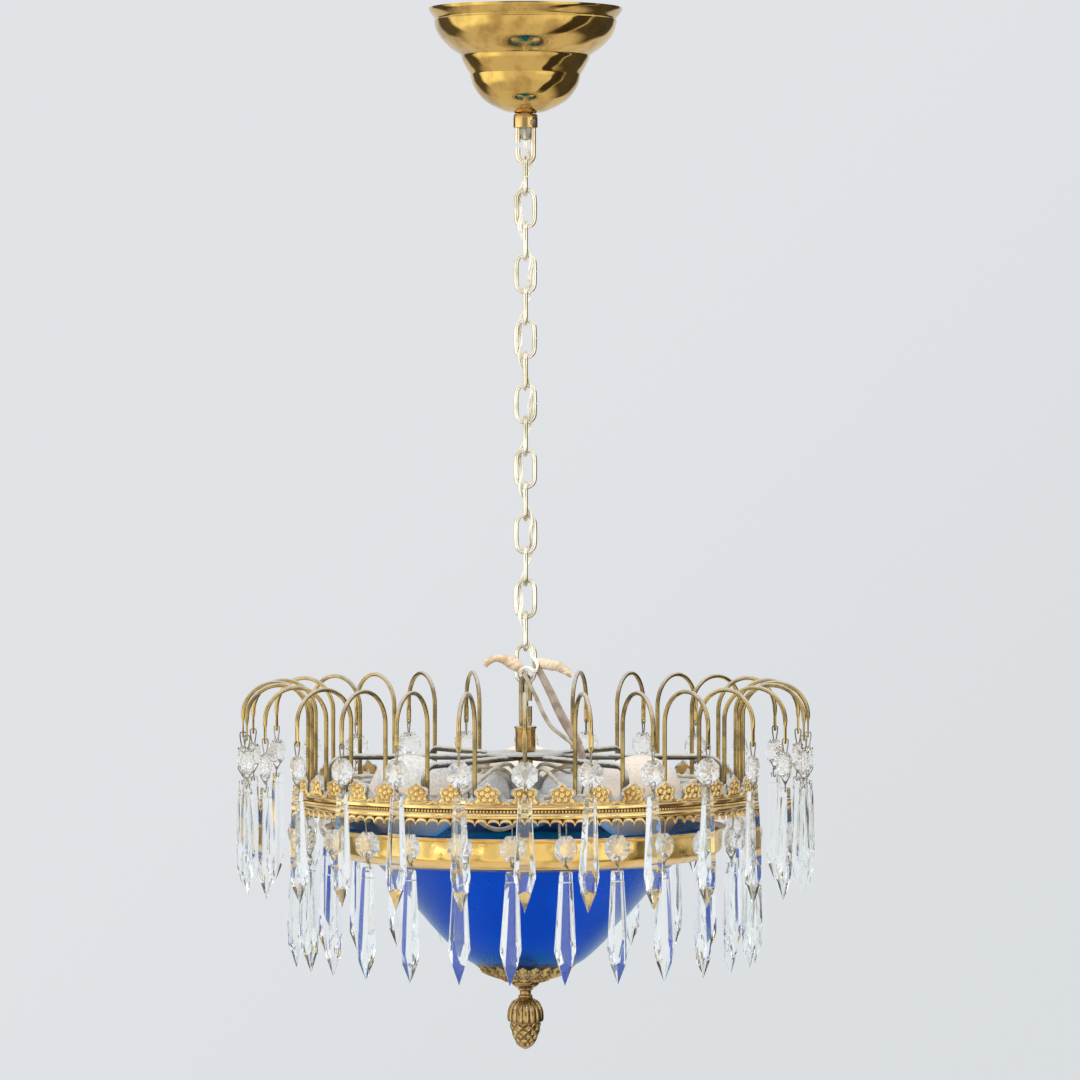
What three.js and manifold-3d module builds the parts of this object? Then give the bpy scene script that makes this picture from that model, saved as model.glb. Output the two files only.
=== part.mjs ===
// A crystal ceiling lamp on a chain. A brass canopy hides the ceiling hook, sixteen wire links carry a
// ring of twenty-eight goose-neck arms, and cut-glass pendants hang from the arms and from a crown band.
// A second band hooks on to the ring and holds a glass bowl, closed below by a leaf cap and a finial.
// Millimetres, +Z up: the ceiling is z = 0, the chain hangs down the Z axis, and the front faces -Y.

import * as THREE from 'three';
import { mergeVertices } from 'three/addons/utils/BufferGeometryUtils.js';
import Module from 'manifold-3d';

const wasm = await Module();
wasm.setup();

// Driving dimensions. Outlines are [radius, z] pairs.

const touchGap = 0.3;

const strap = { length: 70, width: 18, thickness: 2.5, screwRadius: 2.25, screwX: 25 };
const terminalBlock = { length: 17, width: 16, height: 12, centreX: -12.5 };
const nipple = { radius: 3.3, bottom: -91 };
const hookLoop = { wireRadius: 1.9, halfWidth: 5.35, top: -76.5, bottom: -107, gap: [-93.2, -96.8] };

const canopyWall = 1;
const canopyOutline = [
  [66.7, -0.6], [66.5, -3], [62.5, -8], [61.6, -14], [56.6, -23.5], [50, -29.5], [44.5, -33.5],
  [41, -41.5], [38.2, -46], [36.9, -51], [32.5, -59], [24, -66.5], [14, -72], [7.6, -72.8],
];
const collarOutline = [[7.6, -83], [8.5, -83], [8.5, -75], [8.1, -73.3], [7.6, -73.3]];

const link = { count: 16, wireRadius: 1.65, halfWidth: 6.35, length: 26, buttGap: 0.3 };
const flex = { radius: 1.5, leanInLink: 2.6, leanAtJoint: 3.96 * Math.SQRT2 };
const splice = { radius: 3.6 };
const lead = { wideRadius: 2, thinRadius: 1.4 };

const lampLoop = { wireRadius: 1.9, halfWidth: 5.35, bottom: -497, gap: [-478.2, -482], turn: 60, lift: 0.5 };
const loopCollar = { radius: 8.3, top: -495.4, bottom: -513 };
const stem = { radius: 5, bottom: -529.5 };
const hub = { radius: 27, hole: 5.4, top: -513.3, thickness: 2 };
const bar = { count: 6, radius: 2, start: 8, z: -516.8, endRadius: 136, bottom: -537.5 };

const ring = { inner: 134, outer: 157, top: -538, thickness: 2 };
const arm = { count: 28, radius: 1.5, root: 150, bend: 22.5, bendCentre: -488 };
const blade = { top: -495, bottom: -503.2, width: 4, thickness: 1.2, hole: 2 };
const pivotZ = -500;
const tipRadius = arm.root + 2 * arm.bend;

const crownInner = 157.8;
const crownOutline = [
  [crownInner, -554.3], [160.8, -554.3], [161.2, -549.5], [159.2, -544.8], [160.4, -541.8],
  [159.2, -538], [crownInner, -538],
];
const floret = { count: 40, base: -539, thickness: 1.3 };
const floretOutline = [[-5.5, 0], [5.5, 0], [8.5, 7.8], [4, 9.4], [0, 12.6], [-4, 9.4], [-8.5, 7.8]];
const lowerRow = { count: 28, turn: -3, radius: 158.9, pinTop: -552, pinBottom: -562, octagonCentre: -569 };

const bandWall = 1;
const bandOutline = [
  [138.5, -564], [137, -566], [135.8, -568], [135.8, -578], [134, -581], [128, -584.5],
  [118, -586.8], [106, -588.5],
];
const bandHook = { count: 3, turn: -80, radius: 1, inside: 132.4, reach: 137, top: -536.4 };
const glassWall = 3;
const glassOutline = [
  [126, -566], [115.5, -576], [105, -587], [77, -618.6], [63, -635], [52, -646.5], [40.7, -656.5],
  [30, -662], [18, -665.5], [4, -666],
];
const leafCapOutline = [
  [31.5, -662.4], [30.5, -664.6], [24, -667.6], [16, -669.8], [9.7, -671], [3.4, -671],
  [3.4, -668.6], [15, -667.4], [22, -665.9], [30.2, -662.9],
];
const finialOutline = [
  [0, -719], [4, -717], [7, -712], [9.8, -704], [10.2, -701.5], [11.8, -700], [11.9, -695],
  [9.5, -689], [5.5, -686], [4.6, -684], [5, -680], [8, -676.5], [9.7, -674], [9.7, -671.4],
  [3, -671.4], [3, -662.5], [9, -662.5], [9, -661.3], [6, -661.3], [6, -656], [3, -656],
  [3, -654], [0, -654],
];

const socketZ = -543;
const socketAngles = [-30, 90, 210];
const clusterBody = { radius: 13, top: -530, bottom: -556 };
const socketOutline = [[0, 18.5], [15.5, 18.5], [15.5, 52], [13.7, 52], [13.7, 22], [0, 22]];
const bulbWall = 1;
const bulbOutline = [
  [0, 120], [11, 118], [21, 111.4], [27.7, 102], [30, 90], [27, 76], [20, 63], [14, 54],
  [12.9, 52.4], [12.9, 24], [4, 24],
];

// A pendant hangs from z = 0 of its own frame, with X pointing away from the lamp's axis.
const hangingPin = { radius: 0.5, halfWidth: 2.2, foot: -11.8, footHalfWidth: 1 };
const octagon = { centre: -17.7, radius: 9.47, tableRadius: 5.2, halfDepth: 4.3 };
const joiningPin = { radius: 0.5, top: -24.5, bottom: -35 };
const prism = { top: -32.7, length: 76, widestAt: 0.72, topRadius: 4.5, widestRadius: 7.4, depthScale: 0.78 };

// Finishes

const polishedBrass = { color: 0xd8a44a, roughness: 0.2, metalness: 1 };
const gildedBrass = { color: 0xdba63c, roughness: 0.3, metalness: 1 };
const agedBrass = { color: 0x9a7c45, roughness: 0.45, metalness: 1 };
const paleBrass = { color: 0xc8b283, roughness: 0.28, metalness: 1 };
const darkBrass = { color: 0x5e4220, roughness: 0.4, metalness: 1 };
const dustySteel = { color: 0x9a968c, roughness: 0.7, metalness: 0.6 };
const cutGlass = { color: 0xe8eef0, roughness: 0.05, metalness: 0, transparent: true, opacity: 0.45 };
const cobaltGlass = { color: 0x12308f, roughness: 0.1, metalness: 0 };
const opalGlass = { color: 0xf1efe8, roughness: 0.35, metalness: 0 };
const whitePlastic = { color: 0xe6e2d6, roughness: 0.5, metalness: 0 };
const moulding = { color: 0xd9d5ca, roughness: 0.6, metalness: 0 };

// Geometry helpers

// Merges shared corners and drops collapsed faces, which leaves one closed surface.
function closed(geometry) {
  const bare = new THREE.BufferGeometry();
  bare.setAttribute('position', geometry.getAttribute('position'));
  bare.setIndex(geometry.getIndex());
  const merged = mergeVertices(bare, 1e-4);
  const corners = merged.getIndex().array;
  const kept = [];
  for (let i = 0; i < corners.length; i += 3) {
    const [a, b, c] = corners.slice(i, i + 3);
    if (a !== b && b !== c && c !== a) kept.push(a, b, c);
  }
  merged.setIndex(kept);
  return merged;
}

function solidOf(geometry) {
  const vertProperties = new Float32Array(geometry.getAttribute('position').array);
  const triVerts = new Uint32Array(geometry.getIndex().array);
  const solid = new wasm.Manifold(new wasm.Mesh({ numProp: 3, vertProperties, triVerts }));
  if (solid.volume() > 0) return solid;
  for (let i = 0; i < triVerts.length; i += 3) {
    [triVerts[i], triVerts[i + 1]] = [triVerts[i + 1], triVerts[i]];
  }
  return new wasm.Manifold(new wasm.Mesh({ numProp: 3, vertProperties, triVerts }));
}

function geometryOf(solid) {
  const { vertProperties, triVerts } = solid.getMesh();
  const geometry = new THREE.BufferGeometry();
  geometry.setAttribute('position', new THREE.BufferAttribute(vertProperties, 3));
  geometry.setIndex(new THREE.BufferAttribute(triVerts, 1));
  geometry.computeVertexNormals();
  return geometry;
}

// The pieces joined into one solid, less any holes.
function joined(pieces, holes = []) {
  let whole = solidOf(pieces[0]);
  for (const piece of pieces.slice(1)) whole = whole.add(solidOf(piece));
  for (const hole of holes) whole = whole.subtract(solidOf(hole));
  return geometryOf(whole);
}

const at = (x, y, z) => new THREE.Vector3(x, y, z);
const radians = THREE.MathUtils.degToRad;

function block(length, width, height, centre) {
  return closed(new THREE.BoxGeometry(length, width, height)).translate(...centre.toArray());
}

// A solid of revolution about Z, from an outline that closes on itself or on the axis.
function turned(outline, sides) {
  const profile = outline.map(([radius, z]) => new THREE.Vector2(radius, z));
  if (outline[0][0] > 0) profile.push(profile[0].clone());
  return closed(new THREE.LatheGeometry(profile, sides)).rotateX(Math.PI / 2);
}

// The outline of a thin wall, given its outer side from the rim to the hole.
function walled(outline, wall) {
  const inside = outline.map(([radius, z], i) => {
    const before = outline[Math.max(i - 1, 0)];
    const after = outline[Math.min(i + 1, outline.length - 1)];
    const along = new THREE.Vector2(after[0] - before[0], after[1] - before[1]).normalize();
    return [Math.max(radius + along.y * wall, 0), z - along.x * wall];
  });
  return [...outline, ...inside.reverse()];
}

// A path with a ring of the wire at each of its points, and none between them.
class BentPath extends THREE.Curve {
  constructor(points) {
    super();
    this.points = points;
  }

  getPointAt(share) {
    return this.points[Math.round(share * (this.points.length - 1))].clone();
  }

  getPoint(share) {
    return this.getPointAt(share);
  }

  getTangentAt(share) {
    const i = Math.round(share * (this.points.length - 1));
    const here = this.points[i];
    const before = this.points[i - 1] ?? here;
    const after = this.points[i + 1] ?? here;
    const arriving = here.clone().sub(before).normalize();
    const leaving = after.clone().sub(here).normalize();
    return arriving.add(leaving).normalize();
  }

  getTangent(share) {
    return this.getTangentAt(share);
  }
}

function wire(points, radius, sides) {
  const section = new THREE.Shape();
  for (let i = 0; i < sides; i += 1) {
    const angle = (2 * Math.PI * (i + 0.5)) / sides;
    const corner = [radius * Math.cos(angle), radius * Math.sin(angle)];
    if (i) section.lineTo(...corner);
    else section.moveTo(...corner);
  }
  const extrudePath = new BentPath(points);
  return closed(new THREE.ExtrudeGeometry(section, { steps: points.length - 1, extrudePath }));
}

// Points on an arc in the XZ plane, with angles in degrees from +X towards +Z.
function arc(centreX, centreZ, radius, from, to, steps) {
  return Array.from({ length: steps + 1 }, (_, i) => {
    const angle = radians(from + ((to - from) * i) / steps);
    return at(centreX + radius * Math.cos(angle), 0, centreZ + radius * Math.sin(angle));
  });
}

// A long wire ring in the XZ plane, open between the two heights of its gap on the +X side.
function openRing({ halfWidth, top, bottom, gap, wireRadius }, bendSteps, sides) {
  const points = [
    at(halfWidth, 0, gap[0]),
    ...arc(0, top - halfWidth, halfWidth, 0, 180, bendSteps),
    ...arc(0, bottom + halfWidth, halfWidth, 180, 360, bendSteps),
    at(halfWidth, 0, gap[1]),
  ];
  return wire(points, wireRadius, sides);
}

// Copies of a geometry, turned about Z in equal steps from a first angle in degrees.
function around(geometry, count, firstAngle = 0) {
  return Array.from({ length: count }, (_, i) =>
    geometry.clone().rotateZ(radians(firstAngle + (360 * i) / count)));
}

// The hook under the ceiling, and the canopy that hides it

function ceilingHanger() {
  const plate = block(strap.length, strap.width, strap.thickness, at(0, 0, -strap.thickness / 2));
  const { length, width, height, centreX } = terminalBlock;
  const terminals = block(length, width, height, at(centreX, 0, -strap.thickness - height / 2 + 0.1));
  const tube = wire([at(0, 0, -1), at(0, 0, nipple.bottom)], nipple.radius, 12);
  const loop = openRing(hookLoop, 6, 8).rotateZ(Math.PI);
  const screwHoles = [-1, 1].map((side) => {
    const x = side * strap.screwX;
    return wire([at(x, 0, 1), at(x, 0, -strap.thickness - 1)], strap.screwRadius, 12);
  });
  return joined([plate, terminals, tube, loop], screwHoles);
}

const canopy = () => joined([turned(walled(canopyOutline, canopyWall), 24)]);
const canopyCollar = () => joined([turned(collarOutline, 24)]);

// The chain, in which each link hangs on the one above and is turned a quarter from it

const linkPitch = link.length - 2 * link.wireRadius - touchGap;
const hookToLink = hookLoop.wireRadius + link.wireRadius + touchGap;
const linkBottom = (number) => hookLoop.bottom + hookToLink - link.length - (number - 1) * linkPitch;
const lampLoopTop = linkBottom(link.count) + lampLoop.wireRadius + link.wireRadius + lampLoop.lift;

// A link is drawn with the middle of its lower bend at z = 0.
function chainLink() {
  const { halfWidth, wireRadius, length, buttGap } = link;
  const gap = [(length + buttGap) / 2, (length - buttGap) / 2];
  return joined([openRing({ halfWidth, wireRadius, top: length, bottom: 0, gap }, 4, 5)]);
}

// The flex leaves the nipple and winds a quarter turn round the chain at each link. Below the chain its
// two taped splices stand out sideways, and two leads go on down to the sockets.
function flexRoute() {
  const exit = [[0, 0, nipple.bottom - touchGap], [0, 0, -92.6], [0.4, 2, -96.5], [3, 4.3, -102]];
  const route = exit.map((point) => at(...point));
  const lean = (distance, angle, z) =>
    at(distance * Math.cos(radians(angle)), distance * Math.sin(radians(angle)), z);
  for (let number = 0; number < link.count; number += 1) {
    const joint = number ? linkBottom(number) : hookLoop.bottom;
    route.push(lean(flex.leanAtJoint, 45 + 90 * number, joint));
    if (number < link.count - 1) {
      route.push(lean(flex.leanInLink, 90 + 90 * number, joint - linkPitch / 2));
    }
  }
  route.push(at(4.4, -5.8, -445), at(4, -7.2, -447));
  return route;
}

function flexWithLeads() {
  const leftSplice = [at(6, -7.2, -446.5), at(-10, -7.5, -447), at(-25.5, -7, -448.5), at(-29, -7, -452.5)];
  const rightSplice = [at(2, -7.2, -446.5), at(16, -7.5, -448.5), at(32, -7, -456)];
  const wideLead = [at(10, -7.3, -447.5), at(24, -7.6, -473), at(36, -8, -500), at(40, -14, -522)];
  const thinLead = [at(-1, -7.4, -448), at(17, -10, -485), at(34, -10, -505), at(37, -14, -520)];
  return joined([
    wire(flexRoute(), flex.radius, 8),
    wire(leftSplice, splice.radius, 8),
    wire(rightSplice, splice.radius, 8),
    wire(wideLead, lead.wideRadius, 8),
    wire(thinLead, lead.thinRadius, 8),
  ]);
}

// The lamp's loop, its cross frame and the ring of arms

function lampHanger() {
  const loop = openRing({ ...lampLoop, top: lampLoopTop }, 6, 8).rotateZ(radians(lampLoop.turn));
  const collar = wire([at(0, 0, loopCollar.top), at(0, 0, loopCollar.bottom)], loopCollar.radius, 16);
  const tube = wire([at(0, 0, loopCollar.bottom + 1), at(0, 0, stem.bottom)], stem.radius, 16);
  return joined([loop, collar, tube]);
}

function crossFrame() {
  const hubBottom = hub.top - hub.thickness;
  const disc = [[hub.hole, hub.top], [hub.radius, hub.top], [hub.radius, hubBottom], [hub.hole, hubBottom]];
  const bend = 12;
  const path = [
    at(bar.start, 0, bar.z),
    ...arc(bar.endRadius - bend, bar.z - bend, bend, 90, 0, 3),
    at(bar.endRadius, 0, bar.bottom),
  ];
  return joined([turned(disc, 24), ...around(wire(path, bar.radius, 6), bar.count)]);
}

function armRing() {
  const bottom = ring.top - ring.thickness;
  const plate = [[ring.inner, ring.top], [ring.outer, ring.top], [ring.outer, bottom], [ring.inner, bottom]];
  const path = [
    at(arm.root, 0, bottom + ring.thickness / 2),
    ...arc(arm.root + arm.bend, arm.bendCentre, arm.bend, 180, 0, 5),
    at(tipRadius, 0, blade.top - 1),
  ];
  const tip = block(blade.thickness, blade.width, blade.top - blade.bottom,
    at(tipRadius, 0, (blade.top + blade.bottom) / 2));
  const hole = block(2 * blade.width, blade.hole, blade.hole, at(tipRadius, 0, pivotZ));
  const oneArm = joined([wire(path, arm.radius, 4), tip], [hole]);
  return joined([turned(plate, 2 * arm.count), ...around(oneArm, arm.count)]);
}

// A cut-glass pendant: a steel pin, a faceted octagon, a second pin and a long prism

const pinPath = [
  at(-hangingPin.footHalfWidth, 0, hangingPin.foot),
  at(-hangingPin.halfWidth, 0, 0),
  at(hangingPin.halfWidth, 0, 0),
  at(hangingPin.footHalfWidth, 0, hangingPin.foot),
];

function cutOctagon() {
  const { centre, radius, tableRadius, halfDepth } = octagon;
  const outline = [[0, -halfDepth], [tableRadius, -halfDepth], [radius, 0], [tableRadius, halfDepth],
    [0, halfDepth]];
  const flatUp = Math.PI / 8;
  return turned(outline, 8).rotateZ(flatUp).rotateY(Math.PI / 2).translate(0, 0, centre);
}

function longPrism() {
  const { top, length, widestAt, topRadius, widestRadius, depthScale } = prism;
  const outline = [[0, top], [topRadius, top], [widestRadius, top - widestAt * length], [0, top - length]];
  return turned(outline, 6).scale(depthScale, 1, 1);
}

function crystals() {
  const { radius, top, bottom } = joiningPin;
  return [cutOctagon(), wire([at(0, 0, top), at(0, 0, bottom)], radius, 3), longPrism()];
}

const pendant = () => joined([wire(pinPath, hangingPin.radius, 4), ...crystals()]);

// The pierced crown band round the ring, with the lower row of pendants

function ringBand() {
  const shape = new THREE.Shape(floretOutline.map(([x, y]) => new THREE.Vector2(x, y)));
  const plate = closed(new THREE.ExtrudeGeometry(shape, { depth: floret.thickness, bevelEnabled: false }))
    .rotateX(Math.PI / 2)
    .rotateZ(Math.PI / 2)
    .translate(crownInner, 0, floret.base);
  const { count, turn, radius, pinTop, pinBottom, octagonCentre } = lowerRow;
  const lowered = crystals().map((piece) => piece.translate(0, 0, octagonCentre - octagon.centre));
  const shortPin = wire([at(0, 0, pinTop), at(0, 0, pinBottom)], joiningPin.radius, 3);
  const hanging = joined([shortPin, ...lowered]).translate(radius, 0, 0);
  return joined([
    turned(crownOutline, 2 * arm.count),
    ...around(plate, floret.count),
    ...around(hanging, count, turn),
  ]);
}

// The band that carries the bowl, and what closes the bowl below

function bowlBand() {
  const { count, turn, radius, inside, reach, top } = bandHook;
  const path = [at(134.6, 0, -574), at(inside, 0, -556), at(inside, 0, top - 1), at(inside + 1, 0, top),
    at(reach, 0, top)];
  return joined([turned(walled(bandOutline, bandWall), 36), ...around(wire(path, radius, 5), count, turn)]);
}

const glassBowl = () => joined([turned(walled(glassOutline, glassWall), 28)]);
const leafCap = () => joined([turned(leafCapOutline, 24)]);
const finial = () => joined([turned(finialOutline, 12)]);

// The three lamp sockets and their bulbs, which point outwards

const outwards = (geometry) => geometry.rotateY(Math.PI / 2);

function lampCluster() {
  const { radius, top, bottom } = clusterBody;
  const socket = joined([
    outwards(turned(socketOutline, 16)),
    wire([at(8, 0, 0), at(20, 0, 0)], stem.radius, 10),
  ]).translate(0, 0, socketZ);
  const sockets = socketAngles.map((angle) => socket.clone().rotateZ(radians(angle)));
  return joined([wire([at(0, 0, top), at(0, 0, bottom)], radius, 16), ...sockets]);
}

const bulb = () => joined([outwards(turned(walled(bulbOutline, bulbWall), 12))]);

// The assembly

const lamp = new THREE.Group();

function add(name, geometry, finish, parent = lamp) {
  const mesh = new THREE.Mesh(geometry, new THREE.MeshStandardMaterial(finish));
  mesh.name = name;
  parent.add(mesh);
  return mesh;
}

const numbered = (word, number) => `${word}_${String(number).padStart(2, '0')}`;

add('ceiling_hanger', ceilingHanger(), dustySteel);
add('canopy', canopy(), polishedBrass);
add('canopy_collar', canopyCollar(), polishedBrass);
add('flex', flexWithLeads(), whitePlastic);

const chain = new THREE.Group();
lamp.add(chain);
const linkShape = chainLink();
for (let number = 1; number <= link.count; number += 1) {
  const mesh = add(numbered('chain_link', number), linkShape, paleBrass, chain);
  mesh.position.z = linkBottom(number);
  mesh.rotation.z = number % 2 ? Math.PI / 2 : 0;
}

const body = new THREE.Group();
lamp.add(body);
add('lamp_hanger', lampHanger(), agedBrass, body);
add('cross_frame', crossFrame(), dustySteel, body);
add('arm_ring', armRing(), agedBrass, body);
add('ring_band', ringBand(), gildedBrass, body);
add('lamp_cluster', lampCluster(), moulding, body);

const bulbShape = bulb();
socketAngles.forEach((angle, i) => {
  const mesh = add(`bulb_${i + 1}`, bulbShape, opalGlass, body);
  mesh.position.z = socketZ;
  mesh.rotation.z = radians(angle);
});

const bowl = new THREE.Group();
lamp.add(bowl);
add('bowl_band', bowlBand(), gildedBrass, bowl);
add('glass_bowl', glassBowl(), cobaltGlass, bowl);
add('leaf_cap', leafCap(), gildedBrass, bowl);
add('finial', finial(), darkBrass, bowl);

const upperRow = new THREE.Group();
lamp.add(upperRow);
const pendantShape = pendant();
for (let i = 0; i < arm.count; i += 1) {
  const holder = new THREE.Group();
  holder.rotation.z = (2 * Math.PI * i) / arm.count;
  upperRow.add(holder);
  add(numbered('pendant', i + 1), pendantShape, cutGlass, holder).position.set(tipRadius, 0, pivotZ);
}

export default lamp;
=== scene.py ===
import math
import random

import bmesh
import bpy
import numpy as np
from mathutils import Matrix, Vector, noise


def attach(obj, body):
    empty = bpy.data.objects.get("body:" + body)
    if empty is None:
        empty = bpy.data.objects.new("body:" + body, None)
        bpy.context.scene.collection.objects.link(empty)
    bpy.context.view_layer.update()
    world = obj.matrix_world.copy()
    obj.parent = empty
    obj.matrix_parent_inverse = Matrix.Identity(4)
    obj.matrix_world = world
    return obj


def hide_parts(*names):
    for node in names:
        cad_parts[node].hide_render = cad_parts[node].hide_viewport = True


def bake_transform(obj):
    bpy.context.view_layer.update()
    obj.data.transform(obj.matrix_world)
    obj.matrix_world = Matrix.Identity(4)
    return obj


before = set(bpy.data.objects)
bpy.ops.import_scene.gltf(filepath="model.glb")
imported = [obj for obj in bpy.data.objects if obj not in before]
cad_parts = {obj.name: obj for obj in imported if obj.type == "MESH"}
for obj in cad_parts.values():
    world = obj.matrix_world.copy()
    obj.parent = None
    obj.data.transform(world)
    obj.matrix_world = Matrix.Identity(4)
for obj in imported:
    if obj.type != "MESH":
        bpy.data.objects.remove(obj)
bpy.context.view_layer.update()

# Sizes are in millimetres, and Z is up. The ceiling is at 0 and the lamp's front faces -Y.

mm = 0.001
scene = bpy.context.scene


# Camera and studio

cameraSetup = {"place": (10, -3930, -291), "aim": (10, 0, -367), "lens": 189.9, "sensor": 36, "reach": 60}


def linked(name, data):
    obj = bpy.data.objects.new(name, data)
    scene.collection.objects.link(obj)
    return obj


def aimed(obj, place, aim):
    # stands a camera or a light at a place, turned to face another
    obj.location = Vector(place) * mm
    obj.rotation_euler = (Vector(aim) * mm - obj.location).to_track_quat("-Z", "Y").to_euler()


cameraData = bpy.data.cameras.new("camera")
cameraData.lens = cameraSetup["lens"]
cameraData.sensor_width = cameraSetup["sensor"]
cameraData.clip_end = cameraSetup["reach"]
scene.camera = linked("camera", cameraData)
aimed(scene.camera, cameraSetup["place"], cameraSetup["aim"])
scene.view_settings.view_transform = "Standard"
scene.cycles.max_bounces = 24
scene.cycles.transmission_bounces = 24
scene.cycles.glossy_bounces = 6
scene.cycles.caustics_refractive = True
scene.cycles.sample_clamp_indirect = 4
scene.cycles.use_denoising = True


def tint(code):
    # a colour written as six hex digits, as a shader wants it
    channels = [int(code[i:i + 2], 16) / 255 for i in (0, 2, 4)]
    return [c / 12.92 if c <= 0.04045 else ((c + 0.055) / 1.055) ** 2.4 for c in channels] + [1]


# Node trees, written as expressions

class Val:
    # a socket that Python's operators turn into Math nodes
    def __init__(self, graph, socket):
        self.graph = graph
        self.socket = socket

    def other(self, name):
        return Val(self.graph, self.socket.node.outputs[name])

    def __add__(self, value):
        return self.graph.math("ADD", self, value)

    def __sub__(self, value):
        return self.graph.math("SUBTRACT", self, value)

    def __rsub__(self, value):
        return self.graph.math("SUBTRACT", value, self)

    def __mul__(self, value):
        return self.graph.math("MULTIPLY", self, value)

    def __truediv__(self, value):
        return self.graph.math("DIVIDE", self, value)

    __radd__ = __add__
    __rmul__ = __mul__


class Graph:
    def __init__(self, tree):
        self.tree = tree
        tree.nodes.clear()

    def node(self, kind, settings=None, inputs=None, out=0):
        made = self.tree.nodes.new(kind)
        for name, value in (settings or {}).items():
            setattr(made, name, value)
        for name, value in (inputs or {}).items():
            for one in value if isinstance(value, list) and isinstance(value[0], Val) else [value]:
                if isinstance(one, Val):
                    self.tree.links.new(one.socket, made.inputs[name])
                else:
                    made.inputs[name].default_value = one
        return Val(self, made.outputs[out]) if made.outputs else made

    def math(self, operation, *values):
        return self.node("ShaderNodeMath", {"operation": operation}, dict(enumerate(values)))

    def spread(self, value, low, high, start=0.0, end=1.0):
        # value's travel from low to high, eased and stretched to run from start to end
        settings = {"interpolation_type": "SMOOTHSTEP"}
        return self.node("ShaderNodeMapRange", settings, {0: value, 1: low, 2: high, 3: start, 4: end})

    def between(self, value, low, high, soft):
        rise = self.spread(value, low - soft, low + soft)
        return rise * self.spread(value, high - soft, high + soft, 1.0, 0.0)

    def blend(self, factor, first, second):
        settings = {"data_type": "RGBA", "clamp_factor": True}
        return self.node("ShaderNodeMix", settings, {0: factor, 6: first, 7: second}, 2)

    def place(self):
        return self.node("ShaderNodeTexCoord", out="Object")

    def noise(self, size, detail=3.0, stretch=(1, 1, 1)):
        # clouds with patches of about that size in millimetres
        place = self.node("ShaderNodeMapping", inputs={"Vector": self.place(), "Scale": stretch})
        inputs = {"Vector": place, "Scale": 1 / (size * mm), "Detail": detail, "Roughness": 0.55}
        return self.node("ShaderNodeTexNoise", inputs=inputs)

    def mark(self, name):
        return self.node("ShaderNodeAttribute", {"attribute_name": name}, out="Fac")

    def bump(self, height, distance, strength=1.0):
        inputs = {"Height": height, "Distance": distance * mm, "Strength": strength}
        return self.node("ShaderNodeBump", inputs=inputs)


def newFinish(name, build):
    material = bpy.data.materials.new(name)
    material.use_nodes = True
    graph = Graph(material.node_tree)
    shader = graph.node("ShaderNodeBsdfPrincipled", inputs=build(graph))
    graph.node("ShaderNodeOutputMaterial", inputs={"Surface": shader})
    return material


skyPatches = [
    # what the brass mirrors: degrees round from the front, the rise as a sine, how soft those two edges are,
    # how many degrees the patch leans for each unit of rise, its colour and how far that covers the tent
    ((-106, -50), (-0.5, 0.2), (10, 0.12), 0, (1.75, 1.8, 1.5, 1), 0.8),
    ((24, 62), (-0.3, 0.25), (8, 0.08), 0, (1.5, 1.55, 1.25, 1), 0.7),
    ((-30, 20), (0.04, 0.5), (7, 0.02), 0, (0.1, 0.08, 0.05, 1), 0.65),
    ((66, 93), (-0.93, 0.34), (2, 0.08), 17, (0.03, 0.02, 0.012, 1), 0.96),
    ((95, 150), (-0.74, 0.34), (3, 0.1), 16, (0.04, 0.032, 0.018, 1), 0.93),
    ((-144, -113), (-0.6, 0.3), (4, 0.12), -14, (0.05, 0.035, 0.02, 1), 0.9),
]
tentColour = {"behind": tint("e4e7eb"), "front": (1.06, 1.02, 0.92, 1), "low": (0.86, 0.82, 0.77, 1),
              "sides": (0.86, 0.88, 0.92, 1)}
# where the tent's colours change: degrees from the front, then rise, distance to the side and slant
tentShape = {"front": (-118, 118, 20), "low": (-0.75, -0.35), "sides": (0.15, 0.7), "backdrop": (-0.2, 0.05)}


def studio():
    # a pale tent round the lamp, with glows in front and dark doorways at the sides, which only the metal
    # mirrors: what passes through glass sees bright sides in their place
    world = bpy.data.worlds.new("studio")
    world.use_nodes = True
    scene.world = world
    g = Graph(world.node_tree)
    direction = g.node("ShaderNodeTexCoord", out="Generated")
    split = g.node("ShaderNodeSeparateXYZ", inputs={0: direction})
    x, y, z = split, split.other("Y"), split.other("Z")
    turn = g.math("ARCTAN2", x, 0 - y) * math.degrees(1)
    front = g.between(turn, *tentShape["front"])
    low = g.spread(z, *tentShape["low"], 1.0, 0.0)
    tent = g.blend(front, tentColour["behind"], tentColour["front"])
    tent = g.blend(low, tent, tentColour["low"])
    lightPath = g.node("ShaderNodeLightPath")
    seen, through = lightPath.other("Is Camera Ray"), lightPath.other("Is Transmission Ray")
    for turns, rise, soft, lean, colour, cover in skyPatches:
        across = g.between(turn - z * lean, *turns, soft[0])
        share = across * g.between(z, *rise, soft[1]) * cover
        tent = g.blend(share * (1 - through), tent, colour)
    sides = g.spread(g.math("ABSOLUTE", x), *tentShape["sides"])
    tent = g.blend(sides * through, tent, tentColour["sides"])
    backdrop = g.blend(g.spread(z - x, *tentShape["backdrop"]), tint("dadee1"), tint("e1e3e7"))
    shader = g.node("ShaderNodeBackground", inputs={"Color": g.blend(seen, tent, backdrop), "Strength": 1.0})
    g.node("ShaderNodeOutputWorld", inputs={"Surface": shader})


lightAim = (0, 0, -450)
lampLights = [
    {"name": "key", "place": (-1500, -1700, 500), "size": 1300, "power": 24},
    {"name": "fill", "place": (1700, -1300, 0), "size": 900, "power": 10},
    {"name": "top", "place": (200, 300, 1300), "size": 1400, "power": 16},
]


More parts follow.
